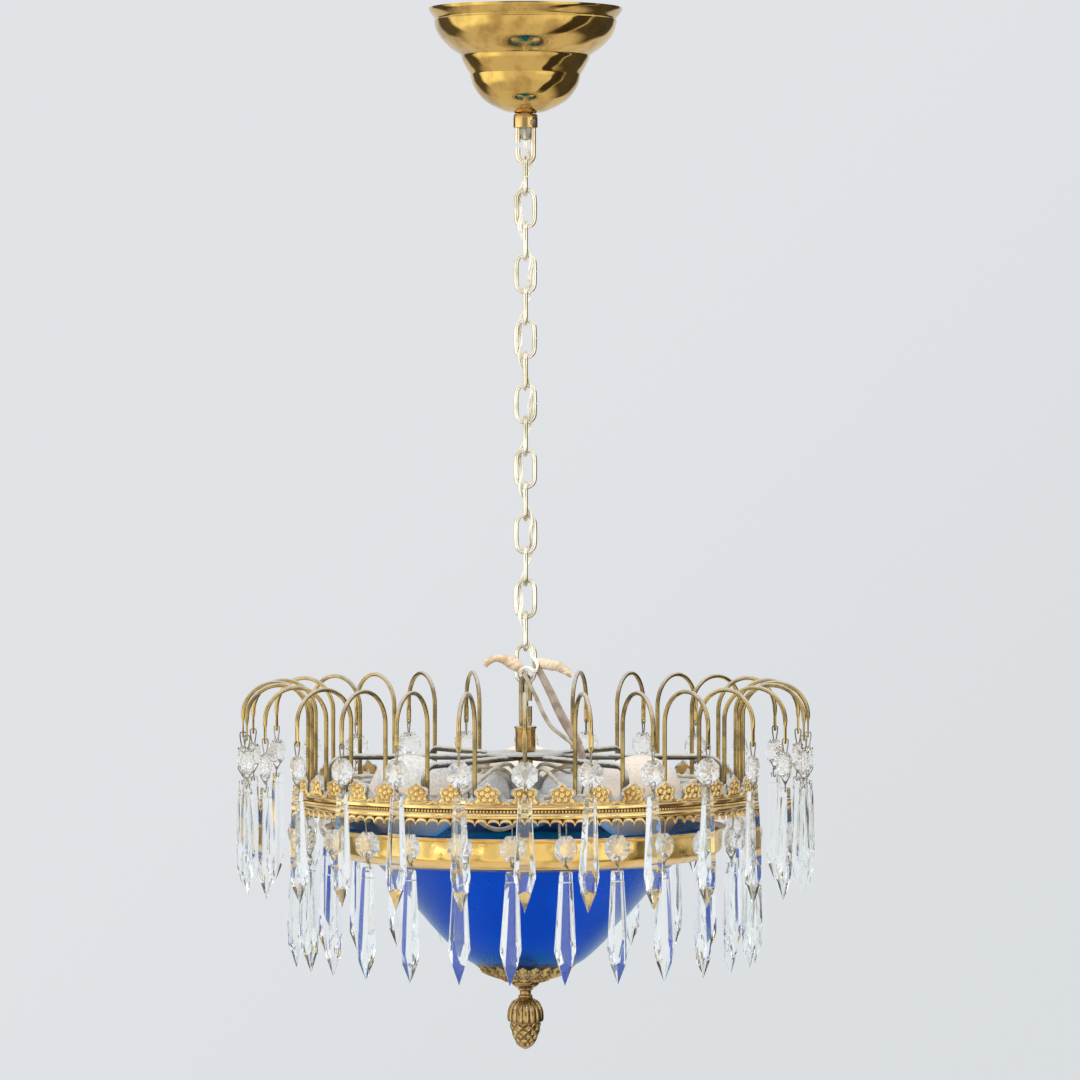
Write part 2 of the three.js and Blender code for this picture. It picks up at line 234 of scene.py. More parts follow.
def softboxes():
    for light in lampLights:
        data = bpy.data.lights.new(light["name"], "AREA")
        data.shape = "DISK"
        data.size = light["size"] * mm
        data.energy = light["power"]
        lamp = linked(light["name"], data)
        aimed(lamp, light["place"], lightAim)
        lamp.visible_glossy = False  # what the brass mirrors is the tent alone


def polar(distance, degrees):
    # X and Y at a distance from the origin and an angle from +X
    return distance * math.cos(math.radians(degrees)), distance * math.sin(math.radians(degrees))


floorSize = {"radius": 10000, "height": -2600, "sides": 96}


def floor():
    s = floorSize
    rim = [(*polar(s["radius"], 360 * i / s["sides"]), s["height"]) for i in range(s["sides"])]
    mesh = bpy.data.meshes.new("floor")
    mesh.from_pydata([Vector(p) * mm for p in rim], [], [list(range(s["sides"]))])

    def build(g):
        colour = g.blend(g.noise(900, 4.0), tint("d5d7da"), tint("dddfe1"))
        return {"Base Color": colour, "Roughness": 0.8}

    mesh.materials.append(newFinish("paleFloor", build))
    ground = linked("floor", mesh)
    ground.visible_glossy = False


studio()
softboxes()
floor()
print("studio ready")


# Finishes

dustColour = tint("cccdd0")

metals = {
    # bright and dull colours, roughness where polished and where dull, dust, specks, and how much further
    # a face has to turn up before dust lies on it
    "hangerSteel": ("a5a49f", "827f77", (0.3, 0.5), 0.5),
    "canopyBrass": ("d3b066", "9b783e", (0.06, 0.14), 0.2, 0.6),
    "collarBrass": ("deba80", "92693a", (0.07, 0.18), 0.4),
    "loopBrass": ("faf0dc", "d8bd98", (0.1, 0.24), 0.2),
    "chainBrass": ("fdf8ee", "cdc49e", (0.08, 0.2), 0.15, 0.4),
    "agedBrass": ("cda76b", "664c33", (0.12, 0.34), 0.9, 0.4),
    "loopIron": ("b7a484", "6b5b47", (0.2, 0.4), 0.7, 0.3),
    "armBrass": ("cfb478", "63574a", (0.12, 0.32), 0.75, 0.5, 0.1),
    "frameSteel": ("8c8268", "544e42", (0.28, 0.55), 1.0, 0.3, -0.1),
    "dustySteel": ("8c8a86", "5e5c59", (0.4, 0.7), 1.0, 0.0, -0.6),
    "giltBrass": ("fbdc98", "c8964a", (0.1, 0.25), 0.6, 0.3, 0.3),
    "satinGilt": ("f0ca7a", "d0a44c", (0.18, 0.32), 0.7, 0.25),
    "leafBrass": ("c8ae72", "6f582d", (0.16, 0.34), 0.4, 0.3),
    "darkBrass": ("bb9f70", "5a4628", (0.04, 0.12), 0.05, 0.3),
    "pinSteel": ("a8a294", "6a6458", (0.25, 0.5), 0.0),
    "screwSteel": ("a8a39a", "6a655c", (0.25, 0.5), 0.2),
}


def metal(bright, dull, rough, dust, speck=0.0, lying=0.25):
    # polished where it's bright, stained in clouds, with painted shade in its hollows and dust on what faces
    # up
    def build(g):
        clouds = g.noise(16, 5.0)
        stain = g.spread(clouds, 0.42, 0.7)
        hollow = g.mark("hollow")
        spots = g.spread(g.noise(1.3, 2.0), 0.68, 0.78) * (speck * 0.6)
        colour = g.blend(stain * 0.7, tint(bright), tint(dull))
        # painted shade: hollows darkened towards a fifth of the dull colour
        colour = g.blend(hollow * 0.92, colour, [c * 0.22 for c in tint(dull)[:3]] + [1])
        colour = g.blend(spots, colour, tint("3a2a14"))
        shine = g.spread(clouds, 0.35, 0.7, rough[0], rough[1]) + spots * 0.3 + hollow * 0.15
        drift = g.noise(5, 4.0) + g.noise(1.1, 3.0) * 0.5
        settled = g.spread(g.mark("up") + drift * 0.7, lying + 0.6, lying + 1.1) * dust
        colour = g.blend(settled, colour, g.blend(g.noise(0.7, 2.0), dustColour, tint("9c9b99")))
        grain = g.noise(3, 4.0) * 0.25 + settled * g.noise(0.9, 4.0) * 3
        return {
            "Base Color": colour,
            "Metallic": 1 - settled,
            "Roughness": g.math("MINIMUM", shine + settled * 0.8, 1.0),
            "Normal": g.bump(grain, 0.12, 0.5),
        }
    return build


def prismGlass(g):
    # the pendants' clear glass, with a faint film of dust on what faces up
    film = g.spread(g.mark("up") + g.noise(3, 3.0) * 0.6, 0.7, 1.4)
    return {
        "Base Color": g.blend(film * 0.5, tint("fafdfd"), tint("eef0f0")),
        "Roughness": g.spread(g.noise(2.5, 3.0), 0.5, 0.75, 0.0, 0.05) + film * 0.12,
        "Transmission Weight": 0.975,
        "IOR": 1.52,
    }


def octagonGlass(g):
    # hazier than the prisms, because the dust lies on its many slanting facets
    film = g.spread(g.mark("up") + g.noise(4, 3.0) * 0.8, 0.1, 1.2)
    return {
        "Base Color": g.blend(film * 0.6, tint("ffffff"), tint("ececea")),
        "Roughness": g.spread(g.noise(2.2, 3.0), 0.4, 0.7, 0.02, 0.08) + film * 0.08,
        "Transmission Weight": 0.83,
        "IOR": 1.45,
    }


def cobaltGlass(g):
    # light comes through it softened
    haze = g.noise(45, 4.0)
    return {
        "Base Color": g.blend(g.spread(haze, 0.35, 0.65), tint("0089df"), tint("0090ea")),
        "Roughness": g.spread(haze, 0.4, 0.7, 0.22, 0.3),
        "Specular IOR Level": 0.2,
        "Specular Tint": tint("2f6fe0"),
        "Transmission Weight": 1.0,
        "IOR": 1.25,
    }


def opalGlass(g):
    drift = g.mark("up") + g.noise(9, 4.0) * 0.7 + g.noise(1.6, 4.0) * 0.5
    settled = g.spread(drift, 0.6, 1.1) * g.mark("dusty")
    colour = g.blend(g.spread(g.noise(60, 2.0), 0.4, 0.6), tint("f2e6d8"), tint("e8cdb4"))
    grey = g.blend(g.spread(g.noise(2, 6.0), 0.3, 0.7), tint("dadbdd"), tint("b4b6b9"))
    return {
        "Base Color": g.blend(settled * 0.96, colour, grey),
        "Roughness": settled * 0.6 + 0.25,
        "Coat Weight": 0.4 - settled * 0.4,
        "Normal": g.bump(settled * g.noise(0.9, 5.0), 0.5, 0.7),
    }


def looseDust(g):
    grey = g.spread(g.noise(1.1, 5.0), 0.35, 0.65)
    return {
        "Base Color": g.blend(grey, tint("dcdee0"), tint("a2a4a8")),
        "Roughness": g.noise(2, 2.0) * 0.1 + 0.85,
        "Normal": g.bump(g.noise(0.8, 4.0), 0.8, 1.0),
    }


plastics = {
    # pale and dark colours, roughness and dust, then the size and depth of the lumps, and how far a face has
    # to turn up before dust lies on it
    "flexSheath": ("f8f6ee", "e6e0cf", 0.35, 0.2),
    "wideSheath": ("ad9d90", "8d7e73", 0.4, 0.35),
    "thinSheath": ("bbad9b", "8e8172", 0.4, 0.35),
    "cordSheath": ("cfc3ae", "a3957e", 0.5, 0.7, 2.0, 0.3),
    "tape": ("e4d2ba", "c8ab88", 0.55, 0.3, 1.6, 0.8),
    "moulding": ("b9b29c", "8f875c", 0.5, 1.0, 1.2, 0.9, 0.1),
    "whiteMoulding": ("e2dfd6", "cfcabd", 0.45, 0.4),
}


def plastic(pale, dark, rough, dust, lumps=1.2, depth=0.1, lying=0.6):
    def build(g):
        settled = g.spread(g.mark("up") + g.noise(4, 4.0) * 0.8, lying, lying + 0.65) * dust
        colour = g.blend(g.spread(g.noise(7, 4.0), 0.4, 0.65), tint(pale), tint(dark))
        lint = g.blend(g.spread(g.noise(0.8, 4.0), 0.35, 0.65), dustColour, tint("a7a8a9"))
        return {
            "Base Color": g.blend(settled, colour, lint),
            "Roughness": settled * 0.4 + rough,
            "Normal": g.bump(g.noise(lumps, 3.0), depth, 0.6),
        }
    return build


def gripNylon(g):
    streaks = g.spread(g.noise(3, 3.0, (1, 1, 0.2)), 0.4, 0.6)
    return {
        "Base Color": g.blend(streaks, tint("f6f4ee"), tint("a89a80")),
        "Roughness": g.noise(2, 3.0) * 0.2 + 0.08,
        "Transmission Weight": 0.45,
    }


builders = {build.__name__: build for build in
            (prismGlass, octagonGlass, cobaltGlass, opalGlass, looseDust, gripNylon)}
builders.update({name: metal(*settings) for name, settings in metals.items()})
builders.update({name: plastic(*settings) for name, settings in plastics.items()})
finishes = {name: newFinish(name, build) for name, build in builders.items()}
print("finishes ready")


# Meshes and pieces

def flowing(points, steps, crisp=()):
    # a smooth line through the points, with a corner kept at each crisp one
    points = [Vector(p) for p in points]
    last = len(points) - 1
    line = []
    for i in range(last):
        here, there = points[i], points[i + 1]
        before = 2 * here - there if i == 0 or i in crisp else points[i - 1]
        after = 2 * there - here if i + 1 == last or i + 1 in crisp else points[i + 2]
        for step in range(steps):
            t = step / steps
            line.append(0.5 * (2 * here + (there - before) * t
                               + (2 * before - 5 * here + 4 * there - after) * t ** 2
                               + (3 * here - before - 3 * there + after) * t ** 3))
    return line + [points[last]]


def walled(outline, wall):
    # the outline of a thin wall, from its outer side
    inside = []
    for i, (radius, z) in enumerate(outline):
        before, after = outline[max(i - 1, 0)], outline[min(i + 1, len(outline) - 1)]
        along = (Vector(after) - Vector(before)).normalized()
        inside.append((max(radius + along.y * wall, 0), z - along.x * wall))
    return [tuple(point) for point in outline] + inside[::-1]


def shaded(mesh, crispAngle):
    # smooth shading that keeps edges sharper than the angle, or flat facets at angle 0
    if crispAngle:
        mesh.shade_smooth()
        mesh.set_sharp_from_angle(angle=math.radians(crispAngle))
    else:
        mesh.shade_flat()
    return mesh


def marked(mesh, name, values):
    # gives each point a number that the finishes read
    mesh.attributes.new(name, "FLOAT", "POINT").data.foreach_set("value", values)


def fromShell(shell):
    mesh = bpy.data.meshes.new("mesh")
    shell.to_mesh(mesh)
    shell.free()
    return mesh


def newMesh(points, faces, crispAngle=35, shadeMarks=None):
    mesh = bpy.data.meshes.new("mesh")
    mesh.from_pydata([Vector(p) * mm for p in points], [], faces)
    # the painted shade that the metal finishes read at each point
    if shadeMarks is not None:
        marked(mesh, "hollow", shadeMarks)
    shell = bmesh.new()
    shell.from_mesh(mesh)
    bmesh.ops.remove_doubles(shell, verts=shell.verts, dist=1e-6)
    bmesh.ops.dissolve_degenerate(shell, edges=shell.edges, dist=1e-7)
    bmesh.ops.recalc_face_normals(shell, faces=shell.faces)
    bpy.data.meshes.remove(mesh)
    return shaded(fromShell(shell), crispAngle)


def gridFaces(rows, columns, rounds=True, closes=True, first=0):
    # faces between neighbouring rows of points; rounds joins the last row to the first, and closes joins each
    # row's end to its start
    faces = []
    for row in range(rows if rounds else rows - 1):
        a, b = first + row * columns, first + (row + 1) % rows * columns
        for i in range(columns if closes else columns - 1):
            j = (i + 1) % columns
            faces.append((a + i, b + i, b + j, a + j))
    return faces


def cloudy(place, *octaves):
    # noise at several sizes, each given as how fine and how strong it is
    return sum(noise.noise(place * fine) * strong for fine, strong in octaves)


def dustDrift(place):
    # how high dust has drifted, in millimetres, at a place on the flat top of a plate
    return max(cloudy(place, (0.11, 0.9), (0.35, 0.5), (0.9, 0.3)) + 0.35, 0)


def roughened(mesh, height, size, onTop=False):
    # lumps of about that size all over the mesh, or heaped only on what faces up
    normals = [vert.normal.copy() for vert in mesh.vertices]
    for vert, normal in zip(mesh.vertices, normals):
        lump = cloudy(vert.co / (size * mm), (1, 1), (2.6, 0.6))
        if onTop:
            lump = max(lump + 0.45, 0) * max(normal.z, 0)
        vert.co += normal * lump * height * mm
    return mesh


def turned(outline, sides, relief=None, crispAngle=35):
    # a shape turned about Z, pushed in and out of its outline by relief(angle, radius, z)
    count = len(outline)
    points, shadeMarks = [], []
    for side in range(sides):
        angle = 2 * math.pi * side / sides
        for i, (radius, z) in enumerate(outline):
            push = relief(angle, radius, z) if relief else 0
            if push:
                before, after = Vector(outline[i - 1]), Vector(outline[(i + 1) % count])
                along = (after - before).normalized()
                radius, z = radius - along.y * push, z + along.x * push
            points.append((radius * math.cos(angle), radius * math.sin(angle), z))
            # painted shade, deeper where the relief pushes in
            shadeMarks.append(min(max(-push * 1.2, 0), 0.8))
    faces = gridFaces(sides, count, closes=outline[0][0] > 0 or outline[-1][0] > 0)
    return newMesh(points, faces, crispAngle, shadeMarks if relief else None)


plateDust = {"edge": 0.4, "step": 1.1, "bankReach": 7}


def dustyPlate(inner, outer, top, bottom, sides, bank=0.0):
    # a flat ring whose top is raised in drifts of dust, which may bank up along its outer edge
    edge = plateDust["edge"]
    steps = round((outer - inner) / plateDust["step"])
    rows = [(radius, top) for radius in np.linspace(inner + edge, outer - edge, steps)]
    outline = [(inner, top - edge)] + rows + [(outer, top - edge), (outer, bottom), (inner, bottom)]
    mesh = turned(outline, sides)
    for vert in mesh.vertices:
        if vert.co.z > (top - edge / 2) * mm:
            place = Vector((vert.co.x, vert.co.y, 0)) / mm
            near = min(max(1 - (outer - place.length) / plateDust["bankReach"], 0), 1)
            heap = max(cloudy(place, (0.16, 1), (0.5, 0.6), (1, 0.3)) + 0.3, 0)
            vert.co.z += (dustDrift(place) + bank * near * heap) * mm
    return mesh


def joined(meshes, places=None):
    # one mesh from several, each put in its place
    whole = bmesh.new()
    for i, mesh in enumerate(meshes):
        copy = mesh.copy()
        if places:
            copy.transform(places[i])
        whole.from_mesh(copy)
        bpy.data.meshes.remove(copy)
    return fromShell(whole)


def box(low, high, bevel=0.0):
    shell = bmesh.new()
    bmesh.ops.create_cube(shell, size=1)
    low, high = Vector(low), Vector(high)
    for vert in shell.verts:
        vert.co = Vector(((low + high)[i] / 2 + vert.co[i] * (high - low)[i] for i in range(3))) * mm
    if bevel:
        bmesh.ops.bevel(shell, geom=shell.edges, offset=bevel * mm, segments=2, affect="EDGES", profile=0.5)
    return shaded(fromShell(shell), 30)


def markUp(mesh):
    # how far each corner of the mesh faces up, from -1 to 1, for the dust
    normals = np.empty(len(mesh.loops) * 3, np.float32)
    mesh.corner_normals.foreach_get("vector", normals)
    mark = mesh.attributes.get("up") or mesh.attributes.new("up", "FLOAT", "CORNER")
    mark.data.foreach_set("value", np.ascontiguousarray(normals[2::3]))


def shown(name, mesh, finish):
    mesh.name = name
    mesh.materials.clear()
    mesh.materials.append(finishes[finish])
    markUp(mesh)
    return linked(name, mesh)


def piece(name, mesh, finish, body, slot, *nodes):
    # a piece that rides on a body and stands for those CAD nodes
    obj = shown(name, mesh, finish)
    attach(obj, body)
    if nodes:
        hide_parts(*nodes)
    return obj


def turnZ(degrees):
    return Matrix.Rotation(math.radians(degrees), 4, "Z")


def moved(x, y, z):
    return Matrix.Translation(Vector((x, y, z)) * mm)


# Geometry Nodes trees: a wire along a path, and a ring of copies

def newTree(name, sockets, build):
    tree = bpy.data.node_groups.new(name, "GeometryNodeTree")
    for label, kind, value in sockets:
        socket = tree.interface.new_socket(label, in_out="INPUT", socket_type=kind)
        if value is not None:
            socket.default_value = value
    tree.interface.new_socket("Geometry", in_out="OUTPUT", socket_type="NodeSocketGeometry")
    g = Graph(tree)
    inputs = g.node("NodeGroupInput")
    given = {label: inputs.other(label) for label, kind, value in sockets}
    g.node("NodeGroupOutput", inputs={"Geometry": build(g, given)})
    return tree


def wireNodes(g, given):
    # sweeps one round section, or two side by side, along the path and may wrinkle its skin
    curve = g.node("GeometryNodeMeshToCurve", inputs={"Mesh": given["Geometry"]})
    along = g.node("GeometryNodeSplineParameter", out="Length")
    tilt = along * given["Twist"]
    curve = g.node("GeometryNodeSetCurveTilt", inputs={"Curve": curve, "Tilt": tilt})
    circle = g.node("GeometryNodeCurvePrimitiveCircle", inputs={
        "Resolution": given["Sides"], "Radius": given["Radius"]})
    sides = []
    for sign in (1, -1):
        offset = g.node("ShaderNodeCombineXYZ", inputs={"X": given["Apart"] * sign})
        sides.append(g.node("GeometryNodeTransform", inputs={"Geometry": circle, "Translation": offset}))
    pair = g.node("GeometryNodeJoinGeometry", inputs={"Geometry": sides})
    twin = g.node("ShaderNodeMath", {"operation": "GREATER_THAN"}, {0: given["Apart"], 1: 0.0})
    section = g.node("GeometryNodeSwitch", {"input_type": "GEOMETRY"}, {
        "Switch": twin, "False": circle, "True": pair})
    skin = g.node("GeometryNodeCurveToMesh", inputs={
        "Curve": curve, "Profile Curve": section, "Fill Caps": True})
    lumps = g.node("ShaderNodeTexNoise", inputs={"Scale": 420.0, "Detail": 3.0})
    push = g.node("ShaderNodeVectorMath", {"operation": "SCALE"}, {
        0: g.node("GeometryNodeInputNormal"), "Scale": (lumps - 0.5) * given["Wrinkle"]})
    skin = g.node("GeometryNodeSetPosition", inputs={"Geometry": skin, "Offset": push})
    return g.node("GeometryNodeSetMaterial", inputs={
        "Geometry": g.node("GeometryNodeRealizeInstances", inputs={"Geometry": skin}),
        "Material": given["Finish"]})


def ringNodes(g, given):
    # stands copies round the Z axis, each turned about itself and leant by a little chance
    count = given["Count"]
    number = g.node("GeometryNodeInputIndex")
    angle = given["First Angle"] + number * (2 * math.pi) / count
    spot = g.node("ShaderNodeCombineXYZ", inputs={
        "X": g.math("COSINE", angle) * given["Radius"],
        "Y": g.math("SINE", angle) * given["Radius"],
        "Z": given["Height"]})
    points = g.node("GeometryNodePoints", inputs={"Count": count, "Position": spot})
    chances = []
    for shift in (0, 1):
        seed = g.node("ShaderNodeMath", inputs={0: given["Seed"], 1: shift})
        chances.append(g.node("FunctionNodeRandomValue", {"data_type": "FLOAT"}, {
            2: -1.0, 3: 1.0, "Seed": seed}, 1))
    turn = g.node("ShaderNodeCombineXYZ", inputs={
        "X": chances[0] * given["Lean"], "Z": angle + chances[1] * given["Turn"]})
    copies = g.node("GeometryNodeInstanceOnPoints", inputs={
        "Points": points, "Instance": given["Geometry"],
        "Rotation": g.node("FunctionNodeEulerToRotation", inputs={0: turn})})
    return g.node("GeometryNodeSetMaterial", inputs={
        "Geometry": g.node("GeometryNodeRealizeInstances", inputs={"Geometry": copies}),
        "Material": given["Finish"]})


wireTree = newTree("bentWire", [
    ("Geometry", "NodeSocketGeometry", None), ("Radius", "NodeSocketFloat", 0.001),
    ("Sides", "NodeSocketInt", 12), ("Apart", "NodeSocketFloat", 0.0), ("Twist", "NodeSocketFloat", 0.0),
    ("Wrinkle", "NodeSocketFloat", 0.0), ("Finish", "NodeSocketMaterial", None)], wireNodes)
ringTree = newTree("ringOfCopies", [
    ("Geometry", "NodeSocketGeometry", None), ("Count", "NodeSocketInt", 28),
    ("Radius", "NodeSocketFloat", 0.1), ("Height", "NodeSocketFloat", 0.0),
    ("First Angle", "NodeSocketFloat", 0.0), ("Turn", "NodeSocketFloat", 0.0),
    ("Lean", "NodeSocketFloat", 0.0), ("Seed", "NodeSocketInt", 1),
    ("Finish", "NodeSocketMaterial", None)], ringNodes)


def applied(obj, modifier):
    # the plain mesh that a modifier makes of an object, which goes
    depsgraph = bpy.context.evaluated_depsgraph_get()
    result = bpy.data.meshes.new_from_object(
        obj.evaluated_get(depsgraph), preserve_all_data_layers=True, depsgraph=depsgraph)
    obj.modifiers.remove(modifier)
    bpy.data.objects.remove(obj)
    return result


def grown(mesh, tree, crispAngle=35, **values):
    # runs a tree on a mesh with its inputs set
    obj = linked("grown", mesh)
    modifier = obj.modifiers.new("grow", "NODES")
    modifier.node_group = tree
    for item in tree.interface.items_tree:
        if item.in_out == "INPUT" and item.name.replace(" ", "") in values:
            modifier[item.identifier] = values[item.name.replace(" ", "")]
    return shaded(applied(obj, modifier), crispAngle)


def path(points):
    mesh = bpy.data.meshes.new("path")
    count = len(points)
    mesh.from_pydata([Vector(p) * mm for p in points], [(i, i + 1) for i in range(count - 1)], [])
    return mesh


def wire(points, radius, sides=12, finish="pinSteel", apart=0.0, twist=0.0, wrinkle=0.0):
    return grown(path(points), wireTree, Radius=radius * mm, Sides=sides, Apart=apart * mm,
                 Twist=float(twist), Wrinkle=wrinkle * mm, Finish=finishes[finish])


def ringOf(mesh, count, radius=0.0, height=0.0, first=0.0, turn=0.0, lean=0.0, seed=1,
           finish="giltBrass", crispAngle=35):
    return grown(mesh, ringTree, crispAngle, Count=count, Radius=radius * mm, Height=height * mm,
                 FirstAngle=math.radians(first), Turn=math.radians(turn), Lean=math.radians(lean),
                 Seed=seed, Finish=finishes[finish])


def swept(line, sides, reach, crispAngle=50, stain=None):
    # a closed skin round a line near the XZ plane; reach(i, angle) gives how far out and how far along Y, and
    # stain(i) how much painted shade it has there
    points = []
    for i, point in enumerate(line):
        along = line[min(i + 1, len(line) - 1)] - line[max(i - 1, 0)]
        outward = Vector((0, 1, 0)).cross(along).normalized()
        for side in range(sides):
            out, wide = reach(i, 2 * math.pi * side / sides)
            points.append(point + outward * out + Vector((0, wide, 0)))
    faces = gridFaces(len(line), sides, rounds=False)
    faces += [tuple(range(sides)), tuple(range(len(points) - sides, len(points)))]
    shadeMarks = [stain(i // sides) for i in range(len(points))] if stain else None
    return newMesh(points, faces, crispAngle, shadeMarks)


def arcPoints(centreX, centreZ, radius, start, end, steps):
    # points on an arc in the XZ plane, with angles in degrees from +X towards +Z
    spots = [polar(radius, start + (end - start) * i / steps) for i in range(steps + 1)]
    return [Vector((centreX + x, 0, centreZ + z)) for x, z in spots]


def openRing(halfWidth, top, bottom, gapTop, gapBottom, bow=0.0, steps=14):
    # a long wire ring in the XZ plane, open on its +X side, whose sides bow out a little
    points = [Vector((halfWidth, 0, gapTop))]
    points += arcPoints(0, top - halfWidth, halfWidth, 0, 180, steps)
    straight = top - bottom - 2 * halfWidth
    points += [Vector((-halfWidth, 0, top - halfWidth - straight * i / 6)) for i in range(1, 6)]
    points += arcPoints(0, bottom + halfWidth, halfWidth, 180, 360, steps)
    points += [Vector((halfWidth, 0, gapBottom))]
    middle, reach = (top + bottom) / 2, (top - bottom) / 2
    for point in points:
        share = abs(point.z - middle) / reach
        point.x += math.copysign(bow * (1 - share ** 2), point.x)
    return points


# The hook under the ceiling

hanger = {
    "strapLength": 70, "strapWidth": 18, "strapThickness": 2.5, "strapCorner": 4, "screwX": 25,
    "screwRadius": 2.25,
    "nippleRadius": 3.3, "nippleBore": 2.3, "nippleTop": -1, "nippleBottom": -91, "threadDepth": 0.35,
    "nut": [(3.4, -2.6), (7.2, -2.6), (7.6, -3.1), (7.6, -6.6), (7.2, -7.1), (3.4, -7.1)],
    "block": ((-21, -8, -14.4), (-4.2, 8, -2.6)), "blockBevel": 0.8,
    "terminalX": (-17, -12.6, -8.2), "terminalY": (-4.5, 4.5), "terminalZ": -14.5,
    "loopRadius": 1.9, "loopHalfWidth": 5.35, "loopTop": -76.5, "loopBottom": -107, "gapTop": -93.2,
    "gapBottom": -96.8,
    "grip": [(2.6, -76), (3.9, -75.8), (4.2, -80), (3.9, -85), (3.3, -90.8), (2.2, -90.9), (2.0, -76)],
}


def slottedScrew(radius, height, slot):
    # a domed head with a sawn slot, on the XY plane
    dome = [(radius * math.cos(a), height * (0.4 + 0.6 * math.sin(a)))
            for a in np.linspace(0.2, math.pi / 2, 7)]
    head = turned([(0, -1.2), (radius, -1.2), (radius, height * 0.4)] + dome[:-1] + [(0, height)], 32)
    for vert in head.vertices:
        if abs(vert.co.y) < slot * mm and vert.co.z > 0:
            vert.co.z -= height * 0.45 * mm
    return head


def strapWithHoles():
    # the strap's plate, with a ring of corners round each screw hole
    h = hanger
    long, wide = h["strapLength"] / 2 - h["strapCorner"], h["strapWidth"] / 2 - h["strapCorner"]
    corners = enumerate(((long, wide), (-long, wide), (-long, -wide), (long, -wide)))
    loops = [[(x + dx, y + dy) for quarter, (x, y) in corners
              for dx, dy in (polar(h["strapCorner"], 90 * quarter + 18 * i) for i in range(6))]]
    loops += [[(x + dx, dy) for dx, dy in (polar(h["screwRadius"], 15 * i) for i in range(24))]
              for x in (-h["screwX"], h["screwX"])]
    shell = bmesh.new()
    edges = []
    for loop in loops:
        verts = [shell.verts.new(Vector((x, y, 0)) * mm) for x, y in loop]
        edges += [shell.edges.new((verts[i - 1], verts[i])) for i in range(len(verts))]
    bmesh.ops.triangle_fill(shell, edges=edges, use_beauty=True)
    side = bmesh.ops.extrude_face_region(shell, geom=shell.faces[:])
    for item in side["geom"]:
        if isinstance(item, bmesh.types.BMVert):
            item.co.z -= h["strapThickness"] * mm
    bmesh.ops.recalc_face_normals(shell, faces=shell.faces)
    # the filling leaves its parts in another order each time, so they are put in order of their places
    places = ((shell.verts, lambda vert: vert.co), (shell.faces, lambda face: face.calc_center_median()))
    for parts, place in places:
        for i, part in enumerate(sorted(parts, key=lambda part: tuple(place(part)))):
            part.index = i
        parts.sort()
    return shaded(fromShell(shell), 30)


def ceilingHanger():
    h = hanger
    piece("hangerStrap", strapWithHoles(), "hangerSteel", "root", "hanger_steel", "ceiling_hanger")
    radius, bore, top, bottom = h["nippleRadius"], h["nippleBore"], h["nippleTop"], h["nippleBottom"]
    outline = [(radius, top)]
    for z in np.arange(top - 2, bottom + 1, -1):
        outline += [(radius, z), (radius - h["threadDepth"], z - 0.5)]
    outline += [(radius - 0.3, bottom), (bore, bottom), (bore, top)]
    nipple = joined([turned(outline, 32, crispAngle=20), turned(h["nut"], 6, crispAngle=20)])
    piece("hangerNipple", nipple, "hangerSteel", "root", "hanger_steel")
    piece("terminalBlock", box(*h["block"], h["blockBevel"]), "whiteMoulding", "root", "socket_moulding")
    heads = [moved(x, y, h["terminalZ"]) @ Matrix.Rotation(math.pi, 4, "X")
             for x in h["terminalX"] for y in h["terminalY"]]
    screws = joined([slottedScrew(1.5, 0.7, 0.5)] * len(heads), heads)
    piece("terminalScrews", screws, "screwSteel", "root", "hanger_steel")
    loop = openRing(h["loopHalfWidth"], h["loopTop"], h["loopBottom"], h["gapTop"], h["gapBottom"])
    mesh = wire(loop, h["loopRadius"], 20, "loopBrass")
    mesh.transform(turnZ(180))
    piece("upperLoop", mesh, "loopBrass", "root", "chain_brass")
    piece("cordGrip", turned(h["grip"], 40), "gripNylon", "root", "flex_sheath")


ceilingHanger()


# The canopy and its collar

canopySize = {
    "outline": [
        (66.7, -0.6), (66.6, -2.4), (65.2, -4.6), (62.8, -7.4), (62.5, -8.2), (62.9, -10), (61.8, -15),
        (59.6, -19.6), (56.6, -23.5), (50.6, -29), (45.2, -32.6), (44.4, -33.4), (43.6, -36.4), (41, -41.5),
        (38.6, -45.2), (38.1, -46), (37.6, -49), (36, -54), (32.5, -59.6), (28.6, -63.8), (24, -67),
        (19, -69.6), (14, -71.6), (10.6, -72.4), (7.6, -72.8)],
    "corners": (4, 11, 15), "wall": 0.9, "sides": 160,
    "collar": [(7.6, -83), (8.3, -83), (8.5, -82.8), (8.5, -76.6), (8.3, -75.6), (8.6, -75.2), (8.3, -74.3),
               (7.6, -73.5), (7.6, -73.5)],
    "screwAngle": -52, "screwOut": 8.3, "screwHeight": -79.4, "slotTurn": 35,
}


def canopy():
    s = canopySize
    shell = walled(flowing(s["outline"], 6, s["corners"]), s["wall"])
    piece("canopyShell", turned(shell, s["sides"], crispAngle=32), "canopyBrass", "canopy", "canopy_brass",
          "canopy")
    piece("canopyCollar", turned(s["collar"], 64, crispAngle=40), "collarBrass", "canopy", "collar_brass",
          "canopy_collar")
    place = turnZ(s["screwAngle"]) @ moved(s["screwOut"], 0, s["screwHeight"])
    place = place @ Matrix.Rotation(math.pi / 2, 4, "Y") @ turnZ(s["slotTurn"])
    screw = joined([slottedScrew(2.3, 1.3, 0.45)], [place])
    piece("collarScrew", shaded(screw, 30), "screwSteel", "canopy", "hanger_steel")


canopy()
print("hanger and canopy ready")


# The chain

chain = {
    "count": 16, "wireRadius": 1.65, "halfWidth": 5.6, "length": 26, "buttGap": 0.35, "bow": 0.85,
    "firstBottom": -129.15, "pitch": 22.4, "hookBottom": -107,
}


def linkBottom(number):
    return chain["firstBottom"] - (number - 1) * chain["pitch"] if number else chain["hookBottom"]


def linkName(number):
    return f"chain_link_{number:02d}"


